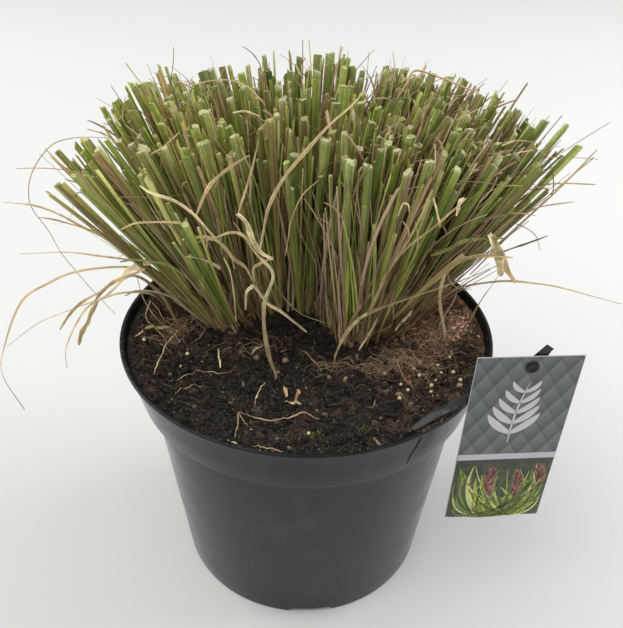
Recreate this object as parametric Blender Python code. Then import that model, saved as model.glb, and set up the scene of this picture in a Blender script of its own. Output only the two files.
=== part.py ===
"""A potted ornamental grass clump, cut back to short stems, with a label on a strap.

Blender 4.5, metres, +Z up. The origin is the centre of the pot's foot, on the ground, and the
front of the clump faces -Y. Lists of points marked MM are in millimetres.
"""

import math

import bmesh
import bpy
import numpy as np
from mathutils import Euler, Matrix, Vector

MM = 0.001
Z_UP = np.array([0.0, 0.0, 1.0])

# Pot: a 26 cm nursery container
POT_HEIGHT = 0.199
RIM_RADIUS = 0.130
COLLAR_BOTTOM_RADIUS = 0.1195
COLLAR_BOTTOM_Z = 0.1604
WALL_TOP_RADIUS = 0.1125
FOOT_RADIUS = 0.094
WALL = 0.0018
RIM_BEAD = 0.0010
RIM_BEAD_HEIGHT = 0.0035
EDGE_ROUND = 0.0008
FOOT_HEIGHT = 0.005
FOOT_RING_WIDTH = 0.008
FOOT_DRAFT = 0.002
BASE_THICKNESS = 0.0025
BASE_BOSS_RADIUS = 0.022
POT_STEPS = 48
NOTCH_COUNT = 4
NOTCH_WIDTH = 0.030
NOTCH_HEIGHT = 0.0036
NOTCH_TURN = math.radians(5)
DRAIN_COUNT = 6
DRAIN_RADIUS = 0.005
DRAIN_CIRCLE_RADIUS = 0.060

# Soil
SOIL_Z = 0.185
SOIL_GAP = 0.0004
SOIL_RINGS = 5
SOIL_LUMP = 0.0016
SOIL_LUMP_FADE = 0.010
SOIL_BANK = 0.009
SOIL_BANK_START = 0.094
SOIL_BANK_END = 0.123
SOIL_BANK_FRONT = (-0.095, -0.045)

# Crown: the outline at soil level, seen from above, front at -Y
CROWN_OUTLINE_MM = (
    (-81, 44), (-80, 28), (-72, 11), (-60, 3), (-47, 7), (-34, 22), (-14, 28),
    (6, 23), (18, 5), (31, -7), (47, -4), (65, 6), (80, 22), (84, 44), (72, 68),
    (45, 85), (0, 93), (-45, 84), (-70, 66),
)
CROWN_CENTRE = np.array([0.0, 0.042])
CROWN_FLOOR_Z = 0.166
POCKET_GAP = 0.0036

# Tufts and stems
SEED = 27
TUFT_COUNT = 46
TUFT_GAP = 0.0003
STEMS_PER_TUFT = 4
STEM_BASE_RADIUS = 0.0026
STEM_TOP_RADIUS = 0.0047
STEM_FLATNESS = 0.72
STEM_CLEARANCE = 0.0005
LEAF_CLEARANCE = 0.0022
LEAST_BASE_RADIUS = 0.0016
LEAST_TOP_RADIUS = 0.0018
LEAD_ALLOWANCE = 0.0008
BLOCK_REACH = 0.0052
SHORTEST_EDGE = 0.0008
STEM_SIDES = 6
STEM_LENGTH_FRONT = 0.155
STEM_LENGTH_BACK = 0.168
STEM_SPREAD = np.array([11.8, 8.6])
LEAD_REACH = 0.016

# Lead stems: where each stands on the soil and where its cut end is
LEAD_STEMS_MM = (
    ((-68, 12), (-160, -3, 305)),
    ((-64, 17), (-149, 2, 309)),
    ((-72, 20), (-146, 20, 309)),
    ((-74, 33), (-152, 36, 311)),
    ((-57, 9), (-101, -20, 322)),
    ((-50, 10), (-71, -55, 307)),
    ((-46, 17), (-75, -20, 341)),
    ((-41, 23), (-63, -18, 343)),
    ((-55, 50), (-112, 60, 350)),
    ((-79, 46), (-128, 50, 326)),
    ((-68, 66), (-120, 82, 342)),
    ((-22, 33), (-25, 0, 350)),
    ((-6, 31), (-9, -15, 335)),
    ((27, 0), (23, -38, 340)),
    ((35, -1), (33, -38, 340)),
    ((43, 5), (51, -20, 341)),
    ((49, 1), (70, -25, 336)),
    ((54, 8), (88, -20, 330)),
    ((61, 7), (126, 4, 314)),
    ((58, 20), (94, 0, 333)),
    ((76, 27), (176, 36, 322)),
    ((78, 40), (170, 52, 330)),
    ((79, 48), (158, 60, 330)),
    ((75, 57), (144, 74, 332)),
    ((69, 65), (128, 84, 338)),
    ((0, 76), (3, 106, 356)),
    ((56, 64), (95, 90, 348)),
)

# Dry leaves: route from the soil to the tip, width, and the bearing of the flat's width
LEAF_THICKNESS = 0.0009
LEAF_ROOT_DEPTH = 0.009
LEAF_SEGMENTS = 10
LEAF_TIP_SHARE = 0.45
SLOT_GAP = 0.0004
DRY_LEAVES_MM = (
    ("left_long", 3.2, 90, (
        (-96, 36, 188), (-116, 34, 215), (-133, 32, 223), (-167, 28, 221), (-188, 24, 213),
        (-209, 18, 199), (-226, 10, 161), (-229, 6, 139), (-216, 0, 111))),
    ("left_low", 2.6, 90, (
        (-99, 24, 188), (-113, 23, 206), (-133, 20, 209), (-153, 17, 203), (-174, 13, 196),
        (-195, 8, 188), (-218, 0, 172))),
    ("left_drop", 3.0, 90, (
        (-94, 12, 188), (-104, 11, 214), (-122, 10, 230), (-141, 4, 217), (-157, 0, 206),
        (-171, -8, 180), (-173, -10, 161))),
    ("left_level", 2.4, 90, (
        (-96, 48, 188), (-112, 47, 210), (-129, 46, 220), (-156, 44, 225), (-179, 42, 228),
        (-210, 38, 228))),
    ("right_long", 3.0, 90, (
        (99, 46, 188), (108, 45, 200), (120, 44, 206), (143, 40, 213), (163, 36, 215),
        (182, 32, 215), (212, 26, 210), (227, 22, 208))),
    ("right_rim", 2.2, 90, (
        (116, 13, 190), (120, 13, 204), (125, 12, 219), (131, 10, 236))),
    ("front_right", 3.2, 90, (
        (20, -22, 188), (26, -22, 205), (36, -22, 220), (49, -22, 229), (69, -21, 238),
        (102, -17, 250), (123, -12, 258))),
    ("front_hanging", 3.0, 0, (
        (-20, -44, 188), (-24, -44, 203), (-27, -46, 229), (-26, -46, 248), (-21, -45, 268),
        (-32, -42, 281), (-44, -44, 303))),
    ("back_left", 2.8, 0, (
        (-38, 101, 188), (-46, 116, 214), (-62, 139, 232), (-86, 166, 226), (-104, 186, 205),
        (-112, 196, 178))),
    ("back_right", 2.8, 0, (
        (46, 99, 188), (54, 114, 212), (70, 140, 228), (92, 170, 222), (112, 192, 204))),
)

# Label card, hanging clear of the rim
CARD_WIDTH = 0.066
CARD_HEIGHT = 0.146
CARD_THICKNESS = 0.0008
CARD_CENTRE = (0.1330, -0.0822, 0.1680)
CARD_TURN = (math.radians(2.4), math.radians(0.5), math.radians(5.4))
CARD_HOLE_RADIUS = 0.003
CARD_HOLE = (0.0015, CARD_HEIGHT / 2 - 0.008)

# Label strap: its route to the card, and its tip from the card's centre
STRAP_WIDTH = 0.0064
STRAP_THICKNESS = 0.0012
STRAP_BEHIND_CARD = 0.0019
STRAP_FOOT_SHARE = 0.15
STRAP_TIP = (0.0105, 0.0784)
BUTTON_GAP = 0.0005
BUTTON_RADIUS = 0.0042
BUTTON_THICKNESS = 0.0012
BUTTON_SIDES = 12
STRAP_ROUTE_MM = (
    (57, -96, 182), (66, -92, 185), (79, -89.2, 195), (88, -88.6, 201.4),
    (99, -83.6, 204.6), (116, -82, 215),
)
STRAP_WIDTH_AXES = (
    (-0.36, 0.88, 0.30), (-0.36, 0.88, 0.30), (-0.34, 0.90, 0.25), (-0.28, 0.93, 0.18),
    (-0.42, 0.45, 0.78), (-0.50, 0.30, 0.80), (-0.66, 0.0, 0.75), (-0.81, 0.0, 0.58),
)

# Materials: colour, roughness
MATERIALS = {
    "pot_plastic": ((0.035, 0.040, 0.043), 0.42),
    "compost": ((0.030, 0.018, 0.012), 0.95),
    "grass_stem": ((0.16, 0.26, 0.045), 0.55),
    "dry_leaf": ((0.52, 0.38, 0.20), 0.75),
    "label_print": ((0.22, 0.23, 0.24), 0.45),
    "strap_plastic": ((0.012, 0.012, 0.013), 0.40),
}


def clear_scene():
    for old in list(bpy.data.objects):
        bpy.data.objects.remove(old, do_unlink=True)


def material(name):
    """A Principled material with the colour and roughness listed in MATERIALS."""
    found = bpy.data.materials.get(name)
    if found:
        return found
    colour, roughness = MATERIALS[name]
    made = bpy.data.materials.new(name)
    made.use_nodes = True
    shader = made.node_tree.nodes["Principled BSDF"]
    shader.inputs["Base Color"].default_value = (*colour, 1.0)
    shader.inputs["Roughness"].default_value = roughness
    shader.inputs["Metallic"].default_value = 0.0
    made.diffuse_color = (*colour, 1.0)
    return made


def add_object(name, mesh, material_name=None):
    """Link a bmesh to the scene as one object and give it its material."""
    data = bpy.data.meshes.new(name)
    bmesh.ops.recalc_face_normals(mesh, faces=mesh.faces)
    mesh.to_mesh(data)
    mesh.free()
    made = bpy.data.objects.new(name, data)
    bpy.context.scene.collection.objects.link(made)
    if material_name:
        data.materials.append(material(material_name))
    return made


def boolean(target, tool, operation):
    """Join or cut with another object, which is then only a guide."""
    step = target.modifiers.new(operation.lower(), "BOOLEAN")
    step.object = tool
    step.operation = operation
    step.solver = "EXACT"
    tool.hide_render = True
    tool.display_type = "WIRE"


def smooth_round(made, angle=math.radians(30)):
    made.data.shade_smooth()
    made.data.set_sharp_from_angle(angle=angle)


def turned(name, profile, steps, material_name):
    """Turn an outline of (radius, height) points, closed on the Z axis, all the way round."""
    mesh = bmesh.new()
    line = [mesh.verts.new((radius, 0.0, height)) for radius, height in profile]
    edges = [mesh.edges.new(pair) for pair in zip(line, line[1:])]
    bmesh.ops.spin(mesh, geom=line + edges, axis=(0, 0, 1), cent=(0, 0, 0),
                   angle=2 * math.pi, steps=steps, use_merge=True)
    bmesh.ops.remove_doubles(mesh, verts=mesh.verts, dist=1e-6)
    return add_object(name, mesh, material_name)


def lofted(rings, mesh=None):
    """A closed body through rings of equal point counts, with a flat cap at each end."""
    mesh = mesh or bmesh.new()
    loops = [[mesh.verts.new(point) for point in ring] for ring in rings]
    for low, high in zip(loops, loops[1:]):
        count = len(low)
        for i in range(count):
            j = (i + 1) % count
            mesh.faces.new((low[i], low[j], high[j], high[i]))
    mesh.faces.new(loops[0][::-1])
    mesh.faces.new(loops[-1])
    return mesh


def prism(outline, low_z, high_z):
    """A straight upright body over a closed outline of (x, y) points."""
    return lofted([[(x, y, z) for x, y in outline] for z in (low_z, high_z)])


def smooth_path(points, count, closed=False):
    """Points at even parameters along the Catmull-Rom curve through the given points."""
    points = np.asarray(points, float)
    if closed:
        padded = np.vstack([points[-1:], points, points[:2]])
    else:
        padded = np.vstack([2 * points[0] - points[1], points, 2 * points[-1] - points[-2]])
    spans = len(padded) - 3
    at = np.linspace(0, spans, count, endpoint=not closed)
    span = np.minimum(at.astype(int), spans - 1)
    t = (at - span)[:, None]
    a, b, c, d = (padded[span + shift] for shift in range(4))
    return 0.5 * (2 * b + (c - a) * t + (2 * a - 5 * b + 4 * c - d) * t ** 2
                  + (3 * b - a - 3 * c + d) * t ** 3)


def offset_outline(outline, distance):
    """Move each point of a closed counter-clockwise outline outwards along its normal."""
    ahead = np.roll(outline, -1, axis=0) - np.roll(outline, 1, axis=0)
    normals = np.stack([ahead[:, 1], -ahead[:, 0]], axis=1)
    normals /= np.linalg.norm(normals, axis=1, keepdims=True)
    return outline + normals * distance


def crown_outline(count=120):
    return smooth_path(np.array(CROWN_OUTLINE_MM) * MM, count, closed=True)


def depth_inside(points, outline):
    """Distance of each point to the outline, positive inside it and negative outside."""
    start = outline
    end = np.roll(outline, -1, axis=0)
    along = end - start
    to_point = points[:, None, :] - start[None]
    share = (to_point * along).sum(-1) / (along ** 2).sum(-1)
    nearest = start + np.clip(share, 0, 1)[..., None] * along
    distance = np.linalg.norm(points[:, None, :] - nearest, axis=-1).min(axis=1)
    rises = (start[:, 1] > points[:, None, 1]) != (end[:, 1] > points[:, None, 1])
    height = np.where(along[:, 1] == 0, 1.0, along[:, 1])
    crossing = start[:, 0] + (points[:, None, 1] - start[:, 1]) * along[:, 0] / height
    inside = (rises & (points[:, None, 0] < crossing)).sum(axis=1) % 2 == 1
    return np.where(inside, distance, -distance)


def grid_inside(outline, spacing, margin):
    """Even grid points that lie at least margin inside the outline."""
    low = outline.min(axis=0)
    high = outline.max(axis=0)
    x, y = np.meshgrid(np.arange(low[0], high[0], spacing), np.arange(low[1], high[1], spacing))
    points = np.stack([x.ravel(), y.ravel()], axis=1)
    return points[depth_inside(points, outline) > margin]


def tuft_centres(outline):
    """Evenly spread centres: each moves to the middle of the ground nearest to it."""
    ground = grid_inside(outline, 0.0015, 0.001)
    picks = [ground[0]]
    nearest = np.linalg.norm(ground - picks[0], axis=1)
    while len(picks) < TUFT_COUNT:
        picks.append(ground[nearest.argmax()])
        nearest = np.minimum(nearest, np.linalg.norm(ground - picks[-1], axis=1))
    centres = np.array(picks)
    for _ in range(40):
        owner = np.linalg.norm(ground[:, None] - centres[None], axis=-1).argmin(axis=1)
        centres = np.array([ground[owner == i].mean(axis=0) for i in range(TUFT_COUNT)])
    return centres[np.lexsort((centres[:, 0], centres[:, 1].round(2)))]


def cell_depth(points, centres, index):
    """Distance of each point to the nearest border of one tuft's ground, negative outside."""
    own = centres[index]
    others = np.delete(centres, index, axis=0)
    towards = others - own
    length = np.linalg.norm(towards, axis=1)
    middle = (others + own) / 2
    return (((middle - points[:, None, :]) * towards).sum(-1) / length).min(axis=1)


def base_slope(base):
    """Horizontal travel for each unit of height: stems lean away from the crown's centre."""
    return (base - CROWN_CENTRE) * STEM_SPREAD


def dry_leaf_curve(route_mm, count):
    return smooth_path(np.array(route_mm, float) * MM, count)


def stem_bases(outline, centres, rng):
    """Stand the lead stems first, then fill each tuft's ground with as many as it takes."""
    margin = STEM_BASE_RADIUS + 0.0004
    spacing = 2 * STEM_BASE_RADIUS + 0.0003
    ground = grid_inside(outline, 0.0007, margin)
    owner = np.linalg.norm(ground[:, None] - centres[None], axis=-1).argmin(axis=1)
    room = np.empty(len(ground))
    for i in range(TUFT_COUNT):
        room[owner == i] = cell_depth(ground[owner == i], centres, i)
    keep = room > margin
    ground = ground[keep]
    owner = owner[keep]
    bases = []
    tufts = []
    for base_mm, _ in LEAD_STEMS_MM:
        distance = np.linalg.norm(ground - np.array(base_mm) * MM, axis=1)
        for taken in bases:
            distance[np.linalg.norm(ground - taken, axis=1) < spacing] = np.inf
        nearest = distance.argmin()
        bases.append(ground[nearest])
        tufts.append(owner[nearest])
    for i in range(TUFT_COUNT):
        cell = ground[owner == i]
        taken = [base for base, tuft in zip(bases, tufts) if tuft == i]
        best = []
        for _ in range(60):
            picked = []
            for point in cell[rng.permutation(len(cell))]:
                apart = [np.linalg.norm(point - other) for other in taken + picked]
                if min(apart, default=1.0) >= spacing:
                    picked.append(point)
                if len(taken) + len(picked) > STEMS_PER_TUFT:
                    break
            if len(picked) > len(best):
                best = picked
        bases += best
        tufts += [i] * len(best)
    return np.array(bases), np.array(tufts)


def stem_tips(bases, rng):
    """Cut ends: lead stems as listed, and the rest lean as the lead stems near them do."""
    lead_base = bases[:len(LEAD_STEMS_MM)]
    lead_tip = np.array([tip for _, tip in LEAD_STEMS_MM]) * MM
    lead_slope = (lead_tip[:, :2] - lead_base) / (lead_tip[:, 2:] - SOIL_Z)
    spare = lead_slope - base_slope(lead_base)
    apart = np.linalg.norm(bases[:, None] - lead_base[None], axis=-1)
    weight = np.exp(-(apart / LEAD_REACH) ** 2)
    pull = weight @ spare / (weight.sum(axis=1, keepdims=True) + 0.35)
    slope = base_slope(bases) + pull + rng.normal(0, 0.028, bases.shape)
    back = np.clip((bases[:, 1] - CROWN_CENTRE[1]) / 0.045, -1, 1) / 2 + 0.5
    length = STEM_LENGTH_FRONT + (STEM_LENGTH_BACK - STEM_LENGTH_FRONT) * back
    length = length + rng.uniform(-0.009, 0.006, len(bases))
    height = length / np.sqrt(1 + (slope ** 2).sum(axis=1))
    tips = np.column_stack([bases + slope * height[:, None], SOIL_Z + height])
    tips[:len(lead_tip)] = lead_tip
    return tips


def room_around(bases, tips, leaf_points):
    """Free radius of each stem at a set of levels, with every stem taking half the gap."""
    levels = np.linspace(SOIL_Z, tips[:, 2].max(), 28)
    share = (levels[None] - SOIL_Z) / (tips[:, 2] - SOIL_Z)[:, None]
    there = share <= 1.001
    slope = (tips[:, :2] - bases) / (tips[:, 2:] - SOIL_Z)
    place = bases[:, None] + slope[:, None] * (levels - SOIL_Z)[None, :, None]
    apart = np.linalg.norm(place[:, None] - place[None], axis=-1)
    apart[~(there[:, None] & there[None])] = np.inf
    apart[np.arange(len(bases)), np.arange(len(bases))] = np.inf
    lean = np.sqrt(1 + (slope ** 2).sum(axis=1))
    stems = (apart.min(axis=1) - STEM_CLEARANCE) / 2 / lean[:, None] ** 0.5
    axis_points = np.concatenate([place, np.broadcast_to(levels[None, :, None], (*share.shape, 1))], -1)
    leaf_gap = np.linalg.norm(axis_points[:, :, None] - leaf_points, axis=-1).min(axis=2) - LEAF_CLEARANCE
    free = np.where(there, np.minimum(stems, leaf_gap), np.inf)
    return share, free


def stem_layout():
    """Where every stem stands, ends and how thick it is, and the tuft that it belongs to."""
    rng = np.random.default_rng(SEED)
    outline = crown_outline()
    centres = tuft_centres(outline)
    bases, tufts = stem_bases(outline, centres, rng)
    tips = stem_tips(bases, rng)
    turn = rng.uniform(0, math.pi, len(bases))
    girth = rng.uniform(0.82, 1.0, len(bases))
    leaf_points = np.concatenate([dry_leaf_curve(leaf[3], 60) for leaf in DRY_LEAVES_MM])
    for _ in range(40):
        share, free = room_around(bases, tips, leaf_points)
        low = np.minimum(STEM_BASE_RADIUS * girth, free[:, 0])
        climb = np.maximum(share, 1e-6)
        limit = np.where(share > 0.1, (free - low[:, None] * (1 - share)) / climb, np.inf)
        high = np.minimum(STEM_TOP_RADIUS * girth, limit.min(axis=1))
        worst = np.minimum(low - LEAST_BASE_RADIUS, high - LEAST_TOP_RADIUS)
        worst[:len(LEAD_STEMS_MM)] += LEAD_ALLOWANCE
        if worst.min() >= 0:
            break
        keep = np.arange(len(bases)) != worst.argmin()
        bases, tips, tufts, turn, girth = (part[keep] for part in (bases, tips, tufts, turn, girth))
    return centres, tufts, bases, tips, low, high, turn


def stem_rings(base, tip, low_radius, high_radius, turn, top_z):
    """Rings of a flattened stem: straight in the crown, then widening to its cut end."""
    angles = np.arange(STEM_SIDES) * 2 * math.pi / STEM_SIDES
    flat = np.stack([np.cos(angles), STEM_FLATNESS * np.sin(angles)], axis=1)
    spin = np.array([[math.cos(turn), math.sin(turn)], [-math.sin(turn), math.cos(turn)]])
    section = flat @ spin
    slope = (tip[:2] - base) / (tip[2] - SOIL_Z)
    rings = []
    for z in (top_z - 0.003, top_z):
        rings.append([(*(base + corner * low_radius), z) for corner in section])
    top = []
    for corner in section * high_radius:
        rise = -float(corner @ slope) / (1 + float(slope @ slope))
        level = corner + slope * rise
        top.append((tip[0] + level[0], tip[1] + level[1], tip[2] + rise))
    rings.append(top)
    return rings


def convex_hull(points):
    """Counter-clockwise hull of points in the plane, by the monotone chain."""
    ordered = sorted(map(tuple, points))

    def chain(sequence):
        kept = []
        for point in sequence:
            while len(kept) > 1 and turn_of(kept[-2], kept[-1], point) <= 1e-10:
                kept.pop()
            kept.append(point)
        return kept[:-1]

    return chain(ordered) + chain(ordered[::-1])


def turn_of(a, b, c):
    return (b[0] - a[0]) * (c[1] - a[1]) - (b[1] - a[1]) * (c[0] - a[0])


def clip_to_cell(polygon, centres, index):
    """Cut a convex outline back to one tuft's ground, half a gap inside its borders."""
    own = centres[index]
    for other in np.delete(centres, index, axis=0):
        normal = Vector(other - own).normalized()
        limit = normal.dot(Vector((other + own) / 2)) - TUFT_GAP / 2
        kept = []
        for a, b in zip(polygon, polygon[1:] + polygon[:1]):
            out_a = normal.dot(Vector(a)) - limit
            out_b = normal.dot(Vector(b)) - limit
            if out_a <= 0:
                kept.append(a)
            if out_a * out_b < 0:
                share = out_a / (out_a - out_b)
                kept.append((a[0] + share * (b[0] - a[0]), a[1] + share * (b[1] - a[1])))
        polygon = kept
    return polygon


def without_short_edges(polygon):
    kept = []
    for point in polygon:
        if not kept or math.dist(point, kept[-1]) > SHORTEST_EDGE:
            kept.append(point)
    if math.dist(kept[0], kept[-1]) < SHORTEST_EDGE:
        kept.pop()
    return kept


def build_tufts():
    """One body a tuft: a block of crown in the soil with its stems growing out of it."""
    centres, tufts, bases, tips, low, high, turn = stem_layout()
    rng = np.random.default_rng(SEED + 1)
    around = np.arange(8) * math.pi / 4
    circle = np.stack([np.cos(around), np.sin(around)], axis=1)
    number = 0
    for i in range(TUFT_COUNT):
        members = np.flatnonzero(tufts == i)
        top_z = SOIL_Z + rng.uniform(-0.001, 0.002)
        if len(members) == 0:
            continue
        number += 1
        name = f"tuft_{number:02d}"
        outline = convex_hull(np.concatenate([bases[m] + circle * BLOCK_REACH for m in members]))
        outline = without_short_edges(clip_to_cell(outline, centres, i))
        block = add_object(name, prism(outline, CROWN_FLOOR_Z, top_z), "grass_stem")
        stems = bmesh.new()
        for m in members:
            lofted(stem_rings(bases[m], tips[m], low[m], high[m], turn[m], top_z), stems)
        boolean(block, add_object(name + "_stems", stems), "UNION")


def strip_rings(points, widths, thickness, width_axes, grow=0.0):
    """Four corners at each point of a path: the flat's width and, square to it, its thickness."""
    ahead = np.gradient(points, axis=0)
    ahead /= np.linalg.norm(ahead, axis=1, keepdims=True)
    side = width_axes - (width_axes * ahead).sum(axis=1, keepdims=True) * ahead
    side /= np.linalg.norm(side, axis=1, keepdims=True)
    face = np.cross(ahead, side)
    half = side * (widths[:, None] / 2 + grow)
    thick = face * (thickness / 2 + grow)
    return [(p + h + t, p - h + t, p - h - t, p + h - t)
            for p, h, t in zip(points, half, thick)]


def build_dry_leaves():
    """Thin curved blades, each rooted in the soil; returns the cutters of their slots."""
    slots = []
    for name, width_mm, bearing, route in DRY_LEAVES_MM:
        points = dry_leaf_curve(route, LEAF_SEGMENTS)
        root = points[0] - Z_UP * (points[0][2] - SOIL_Z + LEAF_ROOT_DEPTH)
        points = np.vstack([root, points])
        share = np.linspace(0, 1, len(points))
        widths = width_mm * MM * (1 - (1 - LEAF_TIP_SHARE) * share ** 2)
        angle = math.radians(bearing)
        axes = np.tile([math.cos(angle), math.sin(angle), 0.0], (len(points), 1))
        leaf = lofted(strip_rings(points, widths, LEAF_THICKNESS, axes))
        add_object("dry_leaf_" + name, leaf, "dry_leaf")
        ends = np.vstack([root - Z_UP * SLOT_GAP, points[1:3]])
        slot = strip_rings(ends, widths[:3], LEAF_THICKNESS, axes[:3], SLOT_GAP)
        slots.append(add_object(f"slot_{name}", lofted(slot)))
    return slots


def wall_radius(z):
    """Outer radius of the pot's wall below the collar."""
    return FOOT_RADIUS + (WALL_TOP_RADIUS - FOOT_RADIUS) * z / COLLAR_BOTTOM_Z


def collar_radius(z):
    """Outer radius of the collar."""
    share = (z - COLLAR_BOTTOM_Z) / (POT_HEIGHT - COLLAR_BOTTOM_Z)
    return COLLAR_BOTTOM_RADIUS + (RIM_RADIUS - RIM_BEAD - COLLAR_BOTTOM_RADIUS) * share


def build_pot():
    floor_z = FOOT_HEIGHT + BASE_THICKNESS
    ledge_z = COLLAR_BOTTOM_Z + WALL
    bead_z = POT_HEIGHT - RIM_BEAD_HEIGHT
    profile = [
        (0.0, 0.0),
        (BASE_BOSS_RADIUS, 0.0),
        (BASE_BOSS_RADIUS + FOOT_DRAFT, FOOT_HEIGHT),
        (FOOT_RADIUS - FOOT_RING_WIDTH - FOOT_DRAFT, FOOT_HEIGHT),
        (FOOT_RADIUS - FOOT_RING_WIDTH, 0.0),
        (FOOT_RADIUS - EDGE_ROUND, 0.0),
        (wall_radius(EDGE_ROUND), EDGE_ROUND),
        (WALL_TOP_RADIUS, COLLAR_BOTTOM_Z - FOOT_DRAFT),
        (COLLAR_BOTTOM_RADIUS - EDGE_ROUND, COLLAR_BOTTOM_Z),
        (collar_radius(COLLAR_BOTTOM_Z + EDGE_ROUND), COLLAR_BOTTOM_Z + EDGE_ROUND),
        (collar_radius(bead_z), bead_z),
        (RIM_RADIUS, bead_z + EDGE_ROUND),
        (RIM_RADIUS, POT_HEIGHT - EDGE_ROUND),
        (RIM_RADIUS - EDGE_ROUND, POT_HEIGHT),
        (collar_radius(POT_HEIGHT) - WALL, POT_HEIGHT),
        (collar_radius(bead_z) - WALL, bead_z),
        (collar_radius(ledge_z) - WALL, ledge_z + EDGE_ROUND),
        (WALL_TOP_RADIUS - WALL, ledge_z),
        (wall_radius(floor_z) - WALL, floor_z),
        (0.0, floor_z),
    ]
    pot = turned("pot", profile, POT_STEPS, "pot_plastic")
    smooth_round(pot)
    holes = bmesh.new()
    for i in range(DRAIN_COUNT):
        angle = (i + 0.5) * 2 * math.pi / DRAIN_COUNT
        centre = Vector((math.cos(angle), math.sin(angle), 0)) * DRAIN_CIRCLE_RADIUS
        around = [k * math.pi / 4 for k in range(8)]
        ring = [centre + DRAIN_RADIUS * Vector((math.cos(a), math.sin(a), 0)) for a in around]
        lofted([[(p.x, p.y, z) for p in ring] for z in (-0.001, floor_z + 0.001)], holes)
    boolean(pot, add_object("drain_cutter", holes), "DIFFERENCE")
    notches = bmesh.new()
    for i in range(NOTCH_COUNT):
        angle = NOTCH_TURN - math.pi / 2 + i * 2 * math.pi / NOTCH_COUNT
        out = Vector((math.cos(angle), math.sin(angle)))
        side = Vector((-out.y, out.x)) * NOTCH_WIDTH / 2
        near = out * (FOOT_RADIUS - FOOT_RING_WIDTH - 0.006)
        far = out * (FOOT_RADIUS + 0.004)
        corners = (near - side, far - side, far + side, near + side)
        lofted([[(c.x, c.y, z) for c in corners] for z in (-0.001, NOTCH_HEIGHT)], notches)
    boolean(pot, add_object("notch_cutter", notches), "DIFFERENCE")


def smooth_step(low, high, value):
    """0 below low, 1 above high, and the cubic 3s^2 - 2s^3 between them."""
    share = min(1.0, max(0.0, (value - low) / (high - low)))
    return share * share * (3 - 2 * share)


def soil_bank(x, y):
    """How far the soil is banked up against the wall: at the sides and the back only."""
    outwards = smooth_step(SOIL_BANK_START, SOIL_BANK_END, math.hypot(x, y))
    return SOIL_BANK * outwards * smooth_step(*SOIL_BANK_FRONT, y)


def soil_height(x, y):
    """Level of the lumpy soil: a few crossing waves, in metres."""
    waves = np.sin(95 * x + 40 * y + 0.6) * np.sin(70 * y - 35 * x + 1.9)
    fine = np.sin(210 * x + 2.2) * np.cos(190 * y - 60 * x)
    return SOIL_Z + SOIL_LUMP * (0.65 * waves + 0.5 * fine)


def build_soil(slots):
    """Compost inside the pot, with a pocket for the crown and a slot for each root."""
    floor_z = FOOT_HEIGHT + BASE_THICKNESS + SOIL_GAP
    ledge_z = COLLAR_BOTTOM_Z + WALL + EDGE_ROUND
    inner = WALL + SOIL_GAP
    edge_radius = collar_radius(SOIL_Z) - inner
    profile = [
        (0.0, floor_z),
        (wall_radius(floor_z) - inner, floor_z),
        (WALL_TOP_RADIUS - inner, COLLAR_BOTTOM_Z),
        (WALL_TOP_RADIUS - inner, ledge_z + SOIL_GAP),
        (collar_radius(ledge_z) - inner, ledge_z + SOIL_GAP),
        (edge_radius, SOIL_Z),
    ]
    for share in np.linspace(1, 0, SOIL_RINGS + 1)[1:]:
        profile.append((edge_radius * share, SOIL_Z))
    soil = turned("soil", profile, POT_STEPS, "compost")
    for vertex in soil.data.vertices:
        x, y, z = vertex.co
        if z > SOIL_Z - 1e-5:
            bank = soil_bank(x, y)
            inside = (edge_radius - math.hypot(x, y)) / SOIL_LUMP_FADE
            lumps = (soil_height(x, y) - SOIL_Z) * min(1.0, max(0.0, inside))
            vertex.co.z = SOIL_Z + bank + lumps
            if inside < 0.01:
                out = (collar_radius(SOIL_Z + bank) - inner) / edge_radius
                vertex.co.x = x * out
                vertex.co.y = y * out
    pocket = offset_outline(crown_outline(40), POCKET_GAP)
    cutter = prism([tuple(p) for p in pocket], CROWN_FLOOR_Z - SOIL_GAP, SOIL_Z + 0.02)
    boolean(soil, add_object("crown_pocket", cutter), "DIFFERENCE")
    for slot in slots:
        boolean(soil, slot, "DIFFERENCE")


def card_frame():
    """Places what is given from the card's centre: x across it, y behind it, z up it."""
    return Matrix.LocRotScale(CARD_CENTRE, Euler(CARD_TURN), None)


def build_card():
    """A thin card with one hole near its top edge."""
    mesh = bmesh.new()
    bmesh.ops.create_cube(mesh, size=1.0)
    size = Matrix.Diagonal((CARD_WIDTH, CARD_THICKNESS, CARD_HEIGHT, 1.0))
    mesh.transform(card_frame() @ size)
    card = add_object("label_card", mesh, "label_print")
    hole = card_disc(CARD_HOLE_RADIUS, -0.002, 0.002)
    boolean(card, add_object("card_hole_cutter", hole), "DIFFERENCE")


def card_disc(radius, low_y, high_y):
    """A disc on the axis of the card's hole, from low_y to high_y behind its middle."""
    around = [k * 2 * math.pi / BUTTON_SIDES for k in range(BUTTON_SIDES)]
    ring = [(CARD_HOLE[0] + radius * math.cos(a), CARD_HOLE[1] + radius * math.sin(a))
            for a in around]
    mesh = lofted([[(x, y, z) for x, z in ring] for y in (low_y, high_y)])
    mesh.transform(card_frame())
    return mesh


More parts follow.
